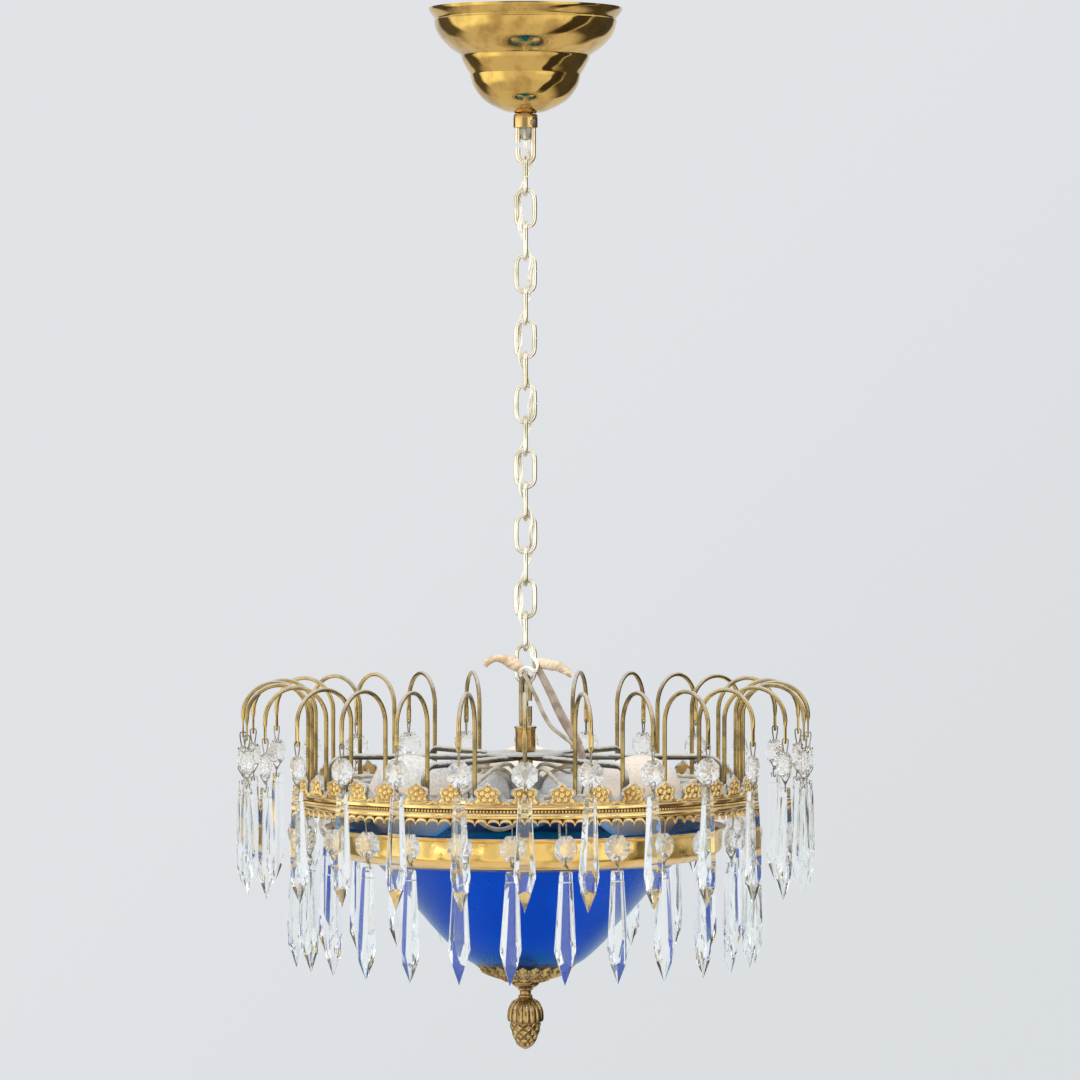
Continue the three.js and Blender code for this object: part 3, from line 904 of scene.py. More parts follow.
def chainLinks():
    chance = random.Random(7)
    for number in range(1, chain["count"] + 1):
        middle = chain["length"] / 2 + chance.uniform(-1.5, 1.5)
        ring = openRing(chain["halfWidth"], chain["length"], 0, middle + chain["buttGap"] / 2,
                        middle - chain["buttGap"] / 2, chain["bow"] + chance.uniform(-0.15, 0.15))
        mesh = wire(ring, chain["wireRadius"], 18, "chainBrass")
        flip = 180 * chance.randint(0, 1) if number > 2 else 180
        mesh.transform(moved(0, 0, linkBottom(number)) @ turnZ(flip + (90 if number % 2 else 0)))
        piece(f"chainLink{number:02d}", mesh, "chainBrass", linkName(number), "chain_brass", linkName(number))


chainLinks()


# The flex, which winds a quarter turn round the chain at each link

flexSize = {
    "strandRadius": 0.72, "apart": 0.74, "twist": 90, "leanInLink": 2.6, "leanAtJoint": 5.6,
    "bendReach": 6, "steps": 7,
    "start": [(0, 0, -91.3), (0, 0, -92.6), (0.4, 2, -96.5), (3, 4.3, -102)],
    "end": [(4.4, -5.8, -445), (4, -7.2, -447)],
}


def flexRoute():
    route = list(flexSize["start"])
    for number in range(chain["count"]):
        joint = linkBottom(number)
        route.append((*polar(flexSize["leanAtJoint"], 45 + 90 * number), joint))
        if number < chain["count"] - 1:
            route.append((*polar(flexSize["leanInLink"], 90 + 90 * number), joint - chain["pitch"] / 2))
    return route + flexSize["end"]


def cutByHeight(mesh, top, bottom):
    # a copy that keeps the faces whose middle lies between the heights
    shell = bmesh.new()
    shell.from_mesh(mesh)
    outside = [f for f in shell.faces if not bottom * mm <= f.calc_center_median().z < top * mm]
    bmesh.ops.delete(shell, geom=outside, context="FACES")
    return fromShell(shell)


def flexInChain():
    size = flexSize
    route = flowing(flexRoute(), size["steps"])
    whole = wire(route, size["strandRadius"], 12, "flexSheath", size["apart"], size["twist"])
    top = 0
    for number in range(1, chain["count"] + 1):
        joint = linkBottom(number - 1)
        bottom = joint - chain["pitch"] / 2 if number < chain["count"] else -1000
        obj = shown(f"flex{number:02d}", cutByHeight(whole, top, bottom), "flexSheath")
        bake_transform(obj)
        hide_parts("flex")
        top = bottom


flexInChain()

splices = {
    # each point of a taped splice is x, y, z and its radius there
    "left": [
        (-28, -7, -454, 1.6), (-26.4, -7, -451.4, 2.1), (-22.7, -7.2, -448.9, 2.4),
        (-18.6, -7.4, -448.4, 2.7), (-14, -7.8, -449.4, 3.5), (-9.4, -8, -451.3, 4.3),
        (-5.6, -8, -453.8, 4.2), (-3, -8, -456.4, 3.0), (-1.8, -8, -458.4, 1.6)],
    "right": [
        (6.6, -7.6, -449.4, 1.6), (9, -7.6, -450.6, 2.6), (13, -7.6, -452, 3.9), (17.6, -7.6, -453, 4.0),
        (22, -7.4, -453.8, 3.5), (26.8, -7.2, -456.2, 2.9), (30, -7, -458.8, 2.5), (32, -7, -460.6, 1.8)],
    "creases": 0.2, "foldPitch": 0.42, "foldSlant": 0.9, "waver": 0.8, "waverPitch": 0.23,
    "sides": 44, "steps": 8, "flatness": 0.85,
    "knot": [
        (4, -7.2, -447), (6.8, -8.6, -449.4), (8.2, -10, -453), (7.2, -11.4, -456.6), (5, -12.4, -456.6),
        (3, -12.9, -455), (0.3, -13, -454.2), (-2.4, -12.6, -455.9), (-4, -11, -458.2), (-3.4, -8.6, -458)],
    "wideLead": [
        (6.5, -7.6, -450.5), (9, -8, -456), (13.6, -8, -464.9), (18.2, -8, -474), (22, -8, -482.4),
        (26.6, -8.2, -491.3), (31.2, -8.6, -499), (35.2, -9, -505.5), (37.4, -9.6, -512), (39, -11, -518),
        (40.8, -14.4, -523.6), (40.4, -17.6, -529), (39, -20.4, -534)],
    "thinLead": [
        (-2.5, -8.4, -454), (-0.8, -9.8, -459), (3.2, -10.6, -467), (7.8, -11, -476.3),
        (12.4, -11.4, -486.7), (18.2, -12, -495.8), (26, -12.8, -502), (31.4, -13, -506.4),
        (34, -13.2, -511), (35.4, -14.4, -517), (35.8, -16.4, -523), (35, -18.4, -528.8),
        (33.4, -19.8, -534)],
    "wideHalf": (1.8, 3.2), "wideThick": 1.45, "thinRadius": 1.4,
    "bendTop": -460, "bendBottom": -482,
}


def tapedSplice(side):
    # sticky tape wound over the joined wires, creased across like a bandage
    s = splices
    line = flowing([p[:3] for p in s[side]], s["steps"])
    radii = [v.x for v in flowing([(p[3], 0, 0) for p in s[side]], s["steps"])]

    def reach(i, angle):
        waver = s["waver"] * math.sin(s["waverPitch"] * i)
        fold = abs(math.sin(s["foldPitch"] * i + s["foldSlant"] * angle + waver))
        lump = math.sin(0.21 * i + 2 * angle) * 0.06 + math.sin(0.53 * i - angle) * 0.04
        radius = radii[i] * (1 - s["creases"] * (1 - fold) ** 3 + lump)
        return radius * math.cos(angle), s["flatness"] * radius * math.sin(angle)

    return swept(line, s["sides"], reach, 40)


def freeCord(line, diameter):
    # turns the cord's points into metres and measures its length, and keeps none of it
    path = [[c * mm for c in point] for point in line]
    length = sum((Vector(a) - Vector(b)).length for a, b in zip(path, path[1:]))
    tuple(path[0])
    diameter * mm


def splicesAndLeads():
    s = splices
    last = linkName(chain["count"])
    tapes = joined([tapedSplice("left"), tapedSplice("right")])
    piece("tapedSplices", tapes, "tape", last, "flex_sheath")
    knot = wire(flowing(s["knot"], 8), flexSize["strandRadius"], 12, "flexSheath", 0.6, 240)
    piece("flexKnot", knot, "flexSheath", last, "flex_sheath")
    wide, thin = flowing(s["wideLead"], 5), flowing(s["thinLead"], 5)
    low, high = s["wideHalf"]

    def reach(i, angle):
        # two cores side by side, so a groove runs down the middle
        out = math.cos(angle)
        half = low + (high - low) * math.sin(math.pi * (i + 4) / (len(wide) + 10))
        return half * out, s["wideThick"] * math.sin(angle) * (1 - 0.3 * math.exp(-(out / 0.25) ** 2))

    flat = swept(wide, 24, reach, 60)
    slim = wire(thin, s["thinRadius"], 14, "thinSheath", wrinkle=0.3)
    leads = [("wideLead", wide, flat, "wideSheath", 4.3), ("thinLead", thin, slim, "thinSheath", 2.8)]
    for name, line, mesh, finish, diameter in leads:
        obj = shown(name, mesh, finish)
        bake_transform(obj)
        freeCord(line, diameter)


splicesAndLeads()
print("chain and flex ready")


# The lamp's loop, stem and cross frame

lampTop = {
    "loopRadius": 1.9, "loopHalfWidth": 5.35, "loopTop": -461.1, "loopBottom": -497, "gapTop": -478.2,
    "gapBottom": -482, "loopTurn": 60,
    "collar": [(0, -495.4), (7, -495.4), (7.6, -495.7), (7.8, -496.2), (7.7, -497), (7.1, -497.5), (7, -500),
               (7, -511.6), (6.8, -512.6), (6.2, -513), (0, -513)],
    "stem": [(0, -512.4), (5, -512.4), (5, -529.5), (0, -529.5)],
    "washer": [(5.2, -529.4), (9, -529.4), (9, -530.2), (5.2, -530.2)],
    "hubHole": 5.4, "hubRadius": 27, "hubTop": -513.7, "hubBottom": -515.3,
    "barRadius": 2, "barZ": -516.8, "barStart": 8, "barEnd": 136, "barBottom": -537.5, "bend": 12, "bars": 6,
    "barSteps": 80, "bendSteps": 10, "barDust": (0.6, 1.7),
}


def lampTopPieces():
    s = lampTop
    loop = openRing(s["loopHalfWidth"], s["loopTop"], s["loopBottom"], s["gapTop"], s["gapBottom"])
    mesh = wire(loop, s["loopRadius"], 20, "loopBrass")
    mesh.transform(turnZ(s["loopTurn"]))
    piece("lampLoop", mesh, "loopIron", "lamp", "aged_brass", "lamp_hanger")
    piece("loopCollar", turned(s["collar"], 64), "agedBrass", "lamp", "aged_brass")
    stem = [turned(s["stem"], 40), turned(s["washer"], 40)]
    piece("stem", joined(stem), "agedBrass", "lamp", "aged_brass")
    hub = dustyPlate(s["hubHole"], s["hubRadius"], s["hubTop"], s["hubBottom"], 120)
    piece("hubDisc", hub, "dustySteel", "lamp", "frame_steel", "cross_frame")
    bend = s["bend"]
    straight = np.linspace(s["barStart"], s["barEnd"] - bend, s["barSteps"])[:-1]
    bar = [Vector((x, 0, s["barZ"])) for x in straight]
    bar += arcPoints(s["barEnd"] - bend, s["barZ"] - bend, bend, 90, 0, s["bendSteps"])
    bar += [Vector((s["barEnd"], 0, s["barBottom"]))]
    bars = ringOf(wire(bar, s["barRadius"], 16, "frameSteel"), s["bars"], finish="frameSteel")
    piece("crossBars", roughened(bars, *s["barDust"], True), "frameSteel", "lamp", "frame_steel")


lampTopPieces()


# The ring and its goose-neck arms

armSize = {
    "count": 28, "root": 150, "bend": 22.5, "bendCentre": -488, "wireRadius": 1.5, "steps": 30, "sides": 14,
    "bladeTop": -493, "bladeBottom": -503.2, "bladeHalfWidth": 1.75, "bladeHalfThickness": 0.62,
    "pivotZ": -500, "tipRadius": 195, "holeRadius": 1.0,
    "ringInner": 134, "ringOuter": 157, "ringTop": -538, "ringBottom": -540, "dustBank": 8,
}


def oneArm():
    # a wire that rises from the ring, turns over and is hammered flat at its tip
    s = armSize
    centreX = s["root"] + s["bend"]
    line = [Vector((s["root"], 0, z)) for z in np.linspace(s["ringTop"] + 0.1, s["bendCentre"], 8)[:-1]]
    line += arcPoints(centreX, s["bendCentre"], s["bend"], 180, 0, s["steps"])
    first = len(line)
    line += [Vector((s["tipRadius"], 0, z)) for z in np.linspace(s["bendCentre"], s["bladeBottom"], 22)[1:]]

    def reach(i, angle):
        wide = thick = s["wireRadius"]
        flat = 0.0
        if i >= first:
            flat = min((s["bendCentre"] - line[i].z) / (s["bendCentre"] - s["bladeTop"]), 1)
            flat = flat * flat * (3 - 2 * flat)
            wide += (s["bladeHalfWidth"] - wide) * flat
            thick += (s["bladeHalfThickness"] - thick) * flat
            toEnd = (line[i].z - s["bladeBottom"]) / s["bladeHalfWidth"]
            wide *= math.sqrt(max(1 - max(1 - toEnd, 0) ** 2, 0.04))
        across = math.copysign(abs(math.sin(angle)) ** (1 - 0.45 * flat), math.sin(angle))
        return thick * math.cos(angle), wide * across

    # painted shade on the rising leg and the bend, darkest at the ring
    def stain(i):
        return 0.3 * max(1 - i / first, 0)

    mesh = swept(line, s["sides"], reach, stain=stain)
    return drilled(mesh, Vector((s["tipRadius"], 0, s["pivotZ"])), s["holeRadius"])


def drilled(mesh, place, radius):
    # the mesh with a round hole through it along X
    drill = turned([(0, -5), (radius, -5), (radius, 5), (0, 5)], 20)
    drill.transform(Matrix.Translation(place * mm) @ Matrix.Rotation(math.pi / 2, 4, "Y"))
    cutter, target = linked("drill", drill), linked("drilled", mesh)
    modifier = target.modifiers.new("hole", "BOOLEAN")
    modifier.object = cutter
    modifier.solver = "EXACT"
    result = applied(target, modifier)
    bpy.data.objects.remove(cutter)
    return shaded(result, 40)


def ringAndArms():
    s = armSize
    plate = dustyPlate(s["ringInner"], s["ringOuter"], s["ringTop"], s["ringBottom"], 600, s["dustBank"])
    piece("ringPlate", plate, "dustySteel", "lamp", "frame_steel", "arm_ring")
    arms = ringOf(oneArm(), s["count"], finish="armBrass")
    piece("gooseneckArms", arms, "armBrass", "lamp", "arm_brass")


ringAndArms()
print("frame and arms ready")


# The pierced crown band

crown = {
    "outline": [
        (157.8, -550.2), (158.6, -550), (159.4, -549.4), (160.4, -548.9), (160.9, -548), (160.9, -547),
        (160.4, -546), (159.5, -545.4), (158.9, -545.2), (158.9, -543.4), (159.6, -543.2), (160.4, -542.6),
        (160.7, -541.6), (160.4, -540.6), (159.6, -540.1), (158.6, -540), (158.4, -538), (157.8, -538)],
    "florets": 40, "floretCentre": -533.4, "beads": 440, "beadRadius": 0.88, "beadHeight": -544.3,
    "groove": (159.3, -545.3, -543.3), "floretRadius": 158.3, "beadRing": 159.7,
    "pearlRadius": 1.2, "pearlRing": 159.1, "pearls": ((0.43, -539.2), (0.5, -538.6), (0.57, -539.2)),
    "fringe": {"from": -8, "to": 190, "step": 6, "radius": 0.75, "rough": 0.9, "lumps": 1.8},
    "arches": 120, "archSteps": 10, "archTop": -551.2, "archFall": 3.1, "archLip": 1.0, "archRadius": 159.7,
    # the arched edge's section, out and up, above and below its rounded lip, and its painted shade from the
    # top down
    "archBack": [(-1.9, 2.6), (-1.5, 2.5), (-1.3, 2.1), (-0.7, 1.95)], "lipSweep": (1.35, -1.4, 8),
    "archUnder": [(-0.6, 0.1), (-1.7, 0.4)], "archStains": (0.9, 1.0, 1.0, 0.8, 0.2),
}

# the floret's reach at angles from its right, anticlockwise, mirrored to its left
floretShape = [
    (90, 7.8), (77, 6.7), (64, 6.0), (52, 6.0), (40, 6.7), (28, 7.9), (17, 8.7), (8, 8.3), (-2, 7.2),
    (-11, 6.9), (-18, 7.4), (-24, 8.8), (-30, 10.2), (-38, 9.6), (-50, 8.2), (-66, 7.2), (-90, 6.8)]
# its pearls: across, up and radius
pearlSpots = [(0.0, 0.0, 1.9), (-6.2, -3.6, 1.3), (6.2, -3.6, 1.3)]
pearlSpots += [(*polar(3.8, turn), 1.75) for turn in range(18, 378, 72)]


# the heights of a floret's stamped rim and pearls
stamping = {"rim": 0.85, "rimShare": 0.9, "rimWidth": 0.085, "pearlFoot": 0.2, "pearlRise": 1.25}


def starRadius(degrees):
    # how far the floret reaches at an angle, the same on both its halves
    degrees = (degrees + 180) % 360 - 180
    if abs(degrees) > 90:
        degrees = math.copysign(180, degrees) - degrees
    for (high, far), (low, near) in zip(floretShape, floretShape[1:]):
        if low <= degrees <= high:
            share = (degrees - low) / (high - low)
            return near + (far - near) * share
    return floretShape[-1][1]


def floretRelief(across, height, share):
    # the stamped relief: a raised rim, a pearl in the middle, five round it and one at each side
    s = stamping
    rise = s["rim"] * math.exp(-((share - s["rimShare"]) / s["rimWidth"]) ** 2)
    for x, z, radius in pearlSpots:
        distance = math.hypot(across - x, height - z) / radius
        if distance < 1:
            rise = max(rise, s["pearlFoot"] + s["pearlRise"] * math.sqrt(1 - distance ** 2))
    return rise


def oneFloret():
    # stamped metal on the YZ plane, facing +X
    around, rings, thickness = 72, 16, 0.5
    points, shadeMarks = [(thickness + floretRelief(0, 0, 0), 0, 0)], [0.0]
    for ring in range(1, rings + 1):
        share = ring / rings
        for i in range(around):
            angle = 360 * i / around
            y, z = polar(starRadius(angle) * share, angle)
            rise = floretRelief(y, z, share)
            points.append((thickness + rise, y, z))
            # painted shade where the relief is low, between the pearls and inside the rim
            shadeMarks.append(min(max(0.35 - rise, 0) * 1.4, 0.5))
    back = len(points)
    points += [(0, y, z) for _, y, z in points[-around:]]
    # painted shade on the floret's back
    shadeMarks += [0.3] * around
    faces = [(0, 1 + i, 1 + (i + 1) % around) for i in range(around)]
    faces += gridFaces(rings + 1, around, rounds=False, first=1)
    faces.append(tuple(range(back, back + around)))
    return newMesh(points, faces, 50, shadeMarks)


def ball(radius, rings=5, sides=8):
    outline = [(radius * math.sin(a), radius * math.cos(a)) for a in np.linspace(0, math.pi, rings)]
    outline[0], outline[-1] = (0, radius), (0, -radius)
    return turned(outline, sides)


def archedEdge():
    # the band's lower edge: a row of small arches under a rounded lip, with their points hanging down
    s = crown
    sides = s["arches"] * s["archSteps"]
    lip = s["archLip"]
    around = [(lip * math.cos(a), lip * math.sin(a) + lip) for a in np.linspace(*s["lipSweep"])]
    sections = s["archBack"] + around + s["archUnder"]
    shadeLevels = s["archStains"]
    points, shadeMarks = [], []
    for side in range(sides):
        turn = 2 * math.pi * side / sides
        share = (side % s["archSteps"]) / s["archSteps"] * 2 - 1
        fall = s["archFall"] * (1 - math.sqrt(max(1 - abs(share) ** 2.2, 0)))
        for i, (out, up) in enumerate(sections):
            z = s["archTop"] + up - (fall if i > 1 else 0)
            radius = s["archRadius"] + out
            points.append((radius * math.cos(turn), radius * math.sin(turn), z))
            # painted shade behind the lip, by row
            shadeMarks.append(shadeLevels[i] if i < len(shadeLevels) else 0.0)
    return newMesh(points, gridFaces(sides, len(sections)), 60, shadeMarks)


def crownBand():
    s = crown
    band = turned(s["outline"], 240)
    reach, low, high = (size * mm for size in s["groove"])
    # painted shade in the groove behind the beads
    shadeLevels = [float(math.hypot(v.co.x, v.co.y) < reach and low < v.co.z < high) for v in band.vertices]
    marked(band, "hollow", shadeLevels)
    piece("crownBand", band, "giltBrass", "lamp", "gilt_brass", "ring_band")
    florets = ringOf(oneFloret(), s["florets"], s["floretRadius"], s["floretCentre"], crispAngle=50)
    piece("crownFlorets", florets, "giltBrass", "lamp", "gilt_brass")
    beads = ringOf(ball(s["beadRadius"]), s["beads"], s["beadRing"], s["beadHeight"])
    piece("crownBeads", beads, "giltBrass", "lamp", "gilt_brass")
    pearl = ball(s["pearlRadius"], 7, 12)
    pitch = 360 / s["florets"]
    pearls = joined([ringOf(pearl, s["florets"], s["pearlRing"], height, shift * pitch)
                     for shift, height in s["pearls"]])
    piece("crownPearls", shaded(pearls, 40), "giltBrass", "lamp", "gilt_brass")
    f = s["fringe"]
    edge = [(0.4, *polar(starRadius(a), a)) for a in range(f["from"], f["to"], f["step"])]
    fringes = ringOf(wire(edge, f["radius"], 6, "looseDust"), s["florets"], s["floretRadius"],
                     s["floretCentre"], finish="looseDust")
    piece("floretDust", shaded(roughened(fringes, f["rough"], f["lumps"]), 60), "looseDust", "lamp",
          "gilt_brass")
    piece("crownArches", archedEdge(), "giltBrass", "lamp", "gilt_brass")


crownBand()
print("crown ready")


# Cut glass: an octagon and a long prism, with their steel pins. X points away from the lamp's axis.

prismLength = 76
crystal = {
    "octagonRadius": 9.47, "midRadius": 7.6, "tableRadius": 3.0, "tableDepth": 4.2, "midDepth": 2.5,
    "girdle": 0.5, "octagonCentre": -17.7, "inward": 0.3,
    "prismTop": -32.7, "frontShare": 0.5,
    # half the prism's width and depth, and the heights of its side and front corners, from the top down
    "prismRings": [(4.0, 2.7, 0, 0), (4.4, 3.1, -0.7, -0.7), (4.7, 3.1, -6.8, -6.8), (4.8, 3.6, -7.4, -7.4),
                   (7.4, 4.5, -0.69 * prismLength, -0.6 * prismLength)],
    # below them, the corners from which the facets run to the point
    "prismTurn": (3.3, 4.1, -0.83 * prismLength), "turnSide": (4.3, -0.8 * prismLength),
    "pinRadius": 0.45, "pinSides": 7,
}


def cutOctagon():
    s = crystal
    points, faces, girdles = [], [], []

    def ring(radius, depth, shift):
        points.extend((depth, *polar(radius, 45 * i + shift)) for i in range(8))
        return list(range(len(points) - 8, len(points)))

    for sign in (1, -1):
        table = ring(s["tableRadius"], sign * s["tableDepth"], 22.5)
        middle = ring(s["midRadius"], sign * s["midDepth"], 45)
        girdle = ring(s["octagonRadius"], sign * s["girdle"], 22.5)
        girdles.append(girdle)
        faces.append(tuple(table))
        for i in range(8):
            j = (i + 1) % 8
            faces += [(table[i], table[j], middle[i]), (table[i], middle[i - 1], girdle[i], middle[i]),
                      (middle[i], girdle[i], girdle[j])]
    front, back = girdles
    faces += [(front[i], back[i], back[(i + 1) % 8], front[(i + 1) % 8]) for i in range(8)]
    return newMesh(points, faces, 0)


def longPrism():
    # hung from its own top: a square head, long facets down to the widest part, then a cut point
    s = crystal
    points = []
    for width, depth, z, frontZ in s["prismRings"]:
        narrow = s["frontShare"] * width
        points += [(0, width, z), (depth, narrow, frontZ), (depth, -narrow, frontZ),
                   (0, -width, z), (-depth, -narrow, frontZ), (-depth, narrow, frontZ)]
    faces = [tuple(range(6))] + gridFaces(len(s["prismRings"]), 6, rounds=False)
    widest, turn = len(points) - 6, len(points)
    x, y, z = s["prismTurn"]
    sideX, sideZ = s["turnSide"]
    points += [(x, y, z), (sideX, 0, sideZ), (x, -y, z), (-x, -y, z), (-sideX, 0, sideZ), (-x, y, z)]
    tip = len(points)
    points.append((0, 0, -prismLength))
    for i in range(6):
        j = (i + 1) % 6
        faces += [(widest + i, widest + j, turn + i), (widest + j, turn + j, turn + i),
                  (turn + i, turn + j, tip)]
    return newMesh(points, faces, 0)


pinPaths = {
    # a bow through the arm's hole and an eye through the octagon's top hole
    "bow": [(-1.0, 0, -11.2), (-0.9, 0, -9.9), (-1.9, 0, -4), (-2.1, 0, -0.8), (-1.4, 0, 0.15), (0, 0, 0.25),
            (1.4, 0, 0.15), (2.1, 0, -0.8), (1.9, 0, -4), (0.9, 0, -9.9), (1.0, 0, -11.2)],
    "eye": [(-3.2, 0, -10.2), (-3.0, 0.3, -11.4), (0, 0.3, -11.9), (3.0, 0.3, -11.4), (3.2, 0, -10.2)],
    # an eye through its bottom hole and a hook through the prism's head
    "lowEye": [(-3.3, 0, -24.9), (-2.9, 0, -23.4), (0, 0, -22.9), (2.9, 0, -23.4), (3.3, 0, -24.9),
               (1.2, 0, -28.4), (0, 0.4, -30.4), (-1.2, 0, -28.4), (-3.3, 0, -24.9)],
    "hook": [(0.6, -1.4, -29.2), (0, 0, -28.4), (-0.6, 1.3, -30), (-0.4, 1.2, -34), (0, 0, -35.6),
             (0.4, -1.2, -34)],
}


def pinWire(points, steps=4):
    return wire(flowing(points, steps), crystal["pinRadius"], crystal["pinSides"])


pinMeshes = {"hanging": joined([pinWire(pinPaths["bow"]), pinWire(pinPaths["eye"], 3)]),
             "joining": joined([pinWire(pinPaths["lowEye"]), pinWire(pinPaths["hook"])])}
glassMeshes = {"octagon": cutOctagon(), "prism": longPrism()}
# how far an upper octagon and prism may turn or lean by chance, in degrees
swing = {"octagonTurn": 14, "prismTurn": 14, "prismLean": 2.5}


def upperRow():
    # each octagon and prism turns a little on its pins
    s = crystal
    chance = random.Random(21)
    pins = joined([pinMeshes["hanging"], pinMeshes["joining"]])
    for i in range(armSize["count"]):
        number = f"{i + 1:02d}"
        place = turnZ(360 * i / armSize["count"]) @ moved(armSize["tipRadius"], 0, armSize["pivotZ"])
        octagonTurn, prismTurn, prismLean = (
            chance.uniform(-swing[part], swing[part]) for part in ("octagonTurn", "prismTurn", "prismLean"))
        octagon, prism, wires = (mesh.copy() for mesh in (glassMeshes["octagon"], glassMeshes["prism"], pins))
        octagon.transform(place @ moved(-s["inward"], 0, s["octagonCentre"]) @ turnZ(octagonTurn))
        lean = Matrix.Rotation(math.radians(prismLean), 4, "X")
        prism.transform(place @ moved(-s["inward"], 0, s["prismTop"]) @ lean @ turnZ(prismTurn))
        wires.transform(place)
        body = f"pendant_{number}"
        piece(f"pendantOctagon{number}", shaded(octagon, 0), "octagonGlass", body, "cut_glass", body)
        piece(f"pendantPrism{number}", shaded(prism, 0), "prismGlass", body, "cut_glass")
        piece(f"pendantPins{number}", shaded(wires, 40), "pinSteel", body, "frame_steel")


upperRow()

lowerSize = {
    "count": 28, "first": -3, "radius": 158.9, "octagonCentre": -569,
    "hook": [(-1.6, 0, -553.8), (-1.3, 0, -552.4), (0, 0, -551.8), (1.3, 0, -552.4), (1.7, 0, -556),
             (0.9, 0, -561), (0, 0, -563)],
}


def lowerRow():
    # grown in layers, so that octagons, prisms and pins turn each in its own way
    s = lowerSize
    drop = s["octagonCentre"] - crystal["octagonCentre"]

    def row(mesh, height, turn, lean, seed, finish, crispAngle=35):
        return ringOf(mesh, s["count"], s["radius"], height, s["first"], turn, lean, seed, finish, crispAngle)

    octagons = row(glassMeshes["octagon"], s["octagonCentre"], 40, 0, 3, "octagonGlass", 0)
    prisms = row(glassMeshes["prism"], crystal["prismTop"] + drop, 20, 1.6, 8, "prismGlass", 0)
    piece("lowerOctagons", octagons, "octagonGlass", "lamp", "cut_glass")
    piece("lowerPrisms", prisms, "prismGlass", "lamp", "cut_glass")
    hooks = row(pinWire(s["hook"]), 0, 0, 0, 1, "pinSteel")
    joins = row(pinMeshes["joining"], drop, 30, 0, 5, "pinSteel")
    piece("lowerPins", shaded(joined([hooks, joins]), 40), "pinSteel", "lamp", "frame_steel")


lowerRow()
print("crystals ready")


# The bowl with its band, hooks, leaf cap and finial

bowlSize = {
    "glass": [
        (126, -566), (120.4, -571.4), (115.5, -576), (110.4, -581.2), (105, -587), (91, -602.6),
        (77, -618.6), (63, -635), (52, -646.5), (40.7, -656.5), (30, -662), (18, -665.5), (4, -666)],
    "glassWall": 3, "dustReach": (10, 36), "dustDepth": 1.4, "dustClear": 0.2, "dustLumps": (0.7, 4),
    "band": [
        (138.5, -564), (138.4, -564.8), (137.4, -565.9), (136.2, -567), (135.9, -568.2), (135.8, -577.4),
        (135.5, -579), (134.4, -580.6), (132, -582.2), (128.6, -583.8), (126.4, -584.4), (125.6, -585.2),
        (122, -586), (114, -587.2), (108.6, -588.2), (107.6, -588.3), (106.8, -588.1)],
    "bandCorners": (5, 10, 11), "bandWall": 0.9,
    "hooks": 3, "hookAngle": -80, "hookRadius": 1,
    "hookPath": [
        (134.6, 0, -574), (133.4, 0, -566), (132.4, 0, -556), (132.4, 0, -540), (132.9, 0, -537.3),
        (134.2, 0, -536.4), (137, 0, -536.4)],
}


def bowl():
    s = bowlSize
    line = flowing(s["glass"], 6)
    glass = turned(walled(line, s["glassWall"]), 160, crispAngle=50)
    piece("glassBowl", glass, "cobaltGlass", "bowl", "cobalt_glass", "glass_bowl")
    near, far = s["dustReach"]
    inside = walled(line, s["glassWall"] + s["dustClear"])[len(line):]
    bed = [(r, z) for r, z in inside if near < r < far]
    heap = [(r, z + s["dustDepth"] * (1 - (r - near) / (far - near)) + 0.1) for r, z in bed]
    dust = roughened(turned(bed + heap[::-1], 160), *s["dustLumps"], True)
    piece("bowlDust", dust, "looseDust", "bowl", "cobalt_glass")
    line = flowing(s["band"], 4, s["bandCorners"])
    band = turned(walled(line, s["bandWall"]), 200, crispAngle=34)
    piece("bowlBand", band, "satinGilt", "bowl", "satin_gilt", "bowl_band")
    one = wire(flowing(s["hookPath"], 5), s["hookRadius"], 12, "pinSteel")
    hooks = ringOf(one, s["hooks"], first=s["hookAngle"], finish="pinSteel")
    piece("bandHooks", hooks, "pinSteel", "bowl", "frame_steel")


bowl()

leafSize = {
    "leaves": 24, "turn": -93, "rim": 31.2, "rimZ": -662.2, "tipReach": 5.0, "tipWidth": 0.8,
    "innerReach": 15.5,
    # each leaf's veins, outer and inner, its rib and the gap beside it
    "veinPitch": (4.4, 2.6), "veinSlant": 0.9, "vein": 0.4, "rib": 1.1, "ribWidth": 0.16, "gap": 1.5,
    "gapWidth": 0.22, "innerRise": 0.7,
    "face": [
        (31.2, -662.5), (30.4, -664.2), (27.6, -665.8), (24, -667.2), (20.4, -668.4), (17, -669.2),
        (15.6, -669.9), (13, -670.6), (9.7, -671)],
    "wall": 0.7, "sides": 720, "collar": [(3.4, -671), (10.2, -671), (10.2, -670.2), (3.4, -670.2)],
}


def leafShare(angle, leaves):
    # 0 at the middle of a leaf and 1 halfway between two
    turn = (math.degrees(angle) - leafSize["turn"]) * leaves / 360
    return abs((turn + 0.5) % 1 - 0.5) * 2


def leafRelief(angle, radius):
    # ribs, slanting veins and deep gaps, on the outer leaves and on half as many round the middle
    s = leafSize
    outer = radius > s["innerReach"] + 0.6
    share = leafShare(angle, s["leaves"] if outer else s["leaves"] / 2)
    along = radius / s["veinPitch"][0 if outer else 1]
    vein = math.cos(2 * math.pi * (along - share * s["veinSlant"])) * s["vein"] * min(share * 3, 1)
    rib = s["rib"] * math.exp(-(share / s["ribWidth"]) ** 2)
    gap = -s["gap"] * math.exp(-((share - 1) / s["gapWidth"]) ** 2)
    return vein + rib + gap + (0.0 if outer else s["innerRise"])


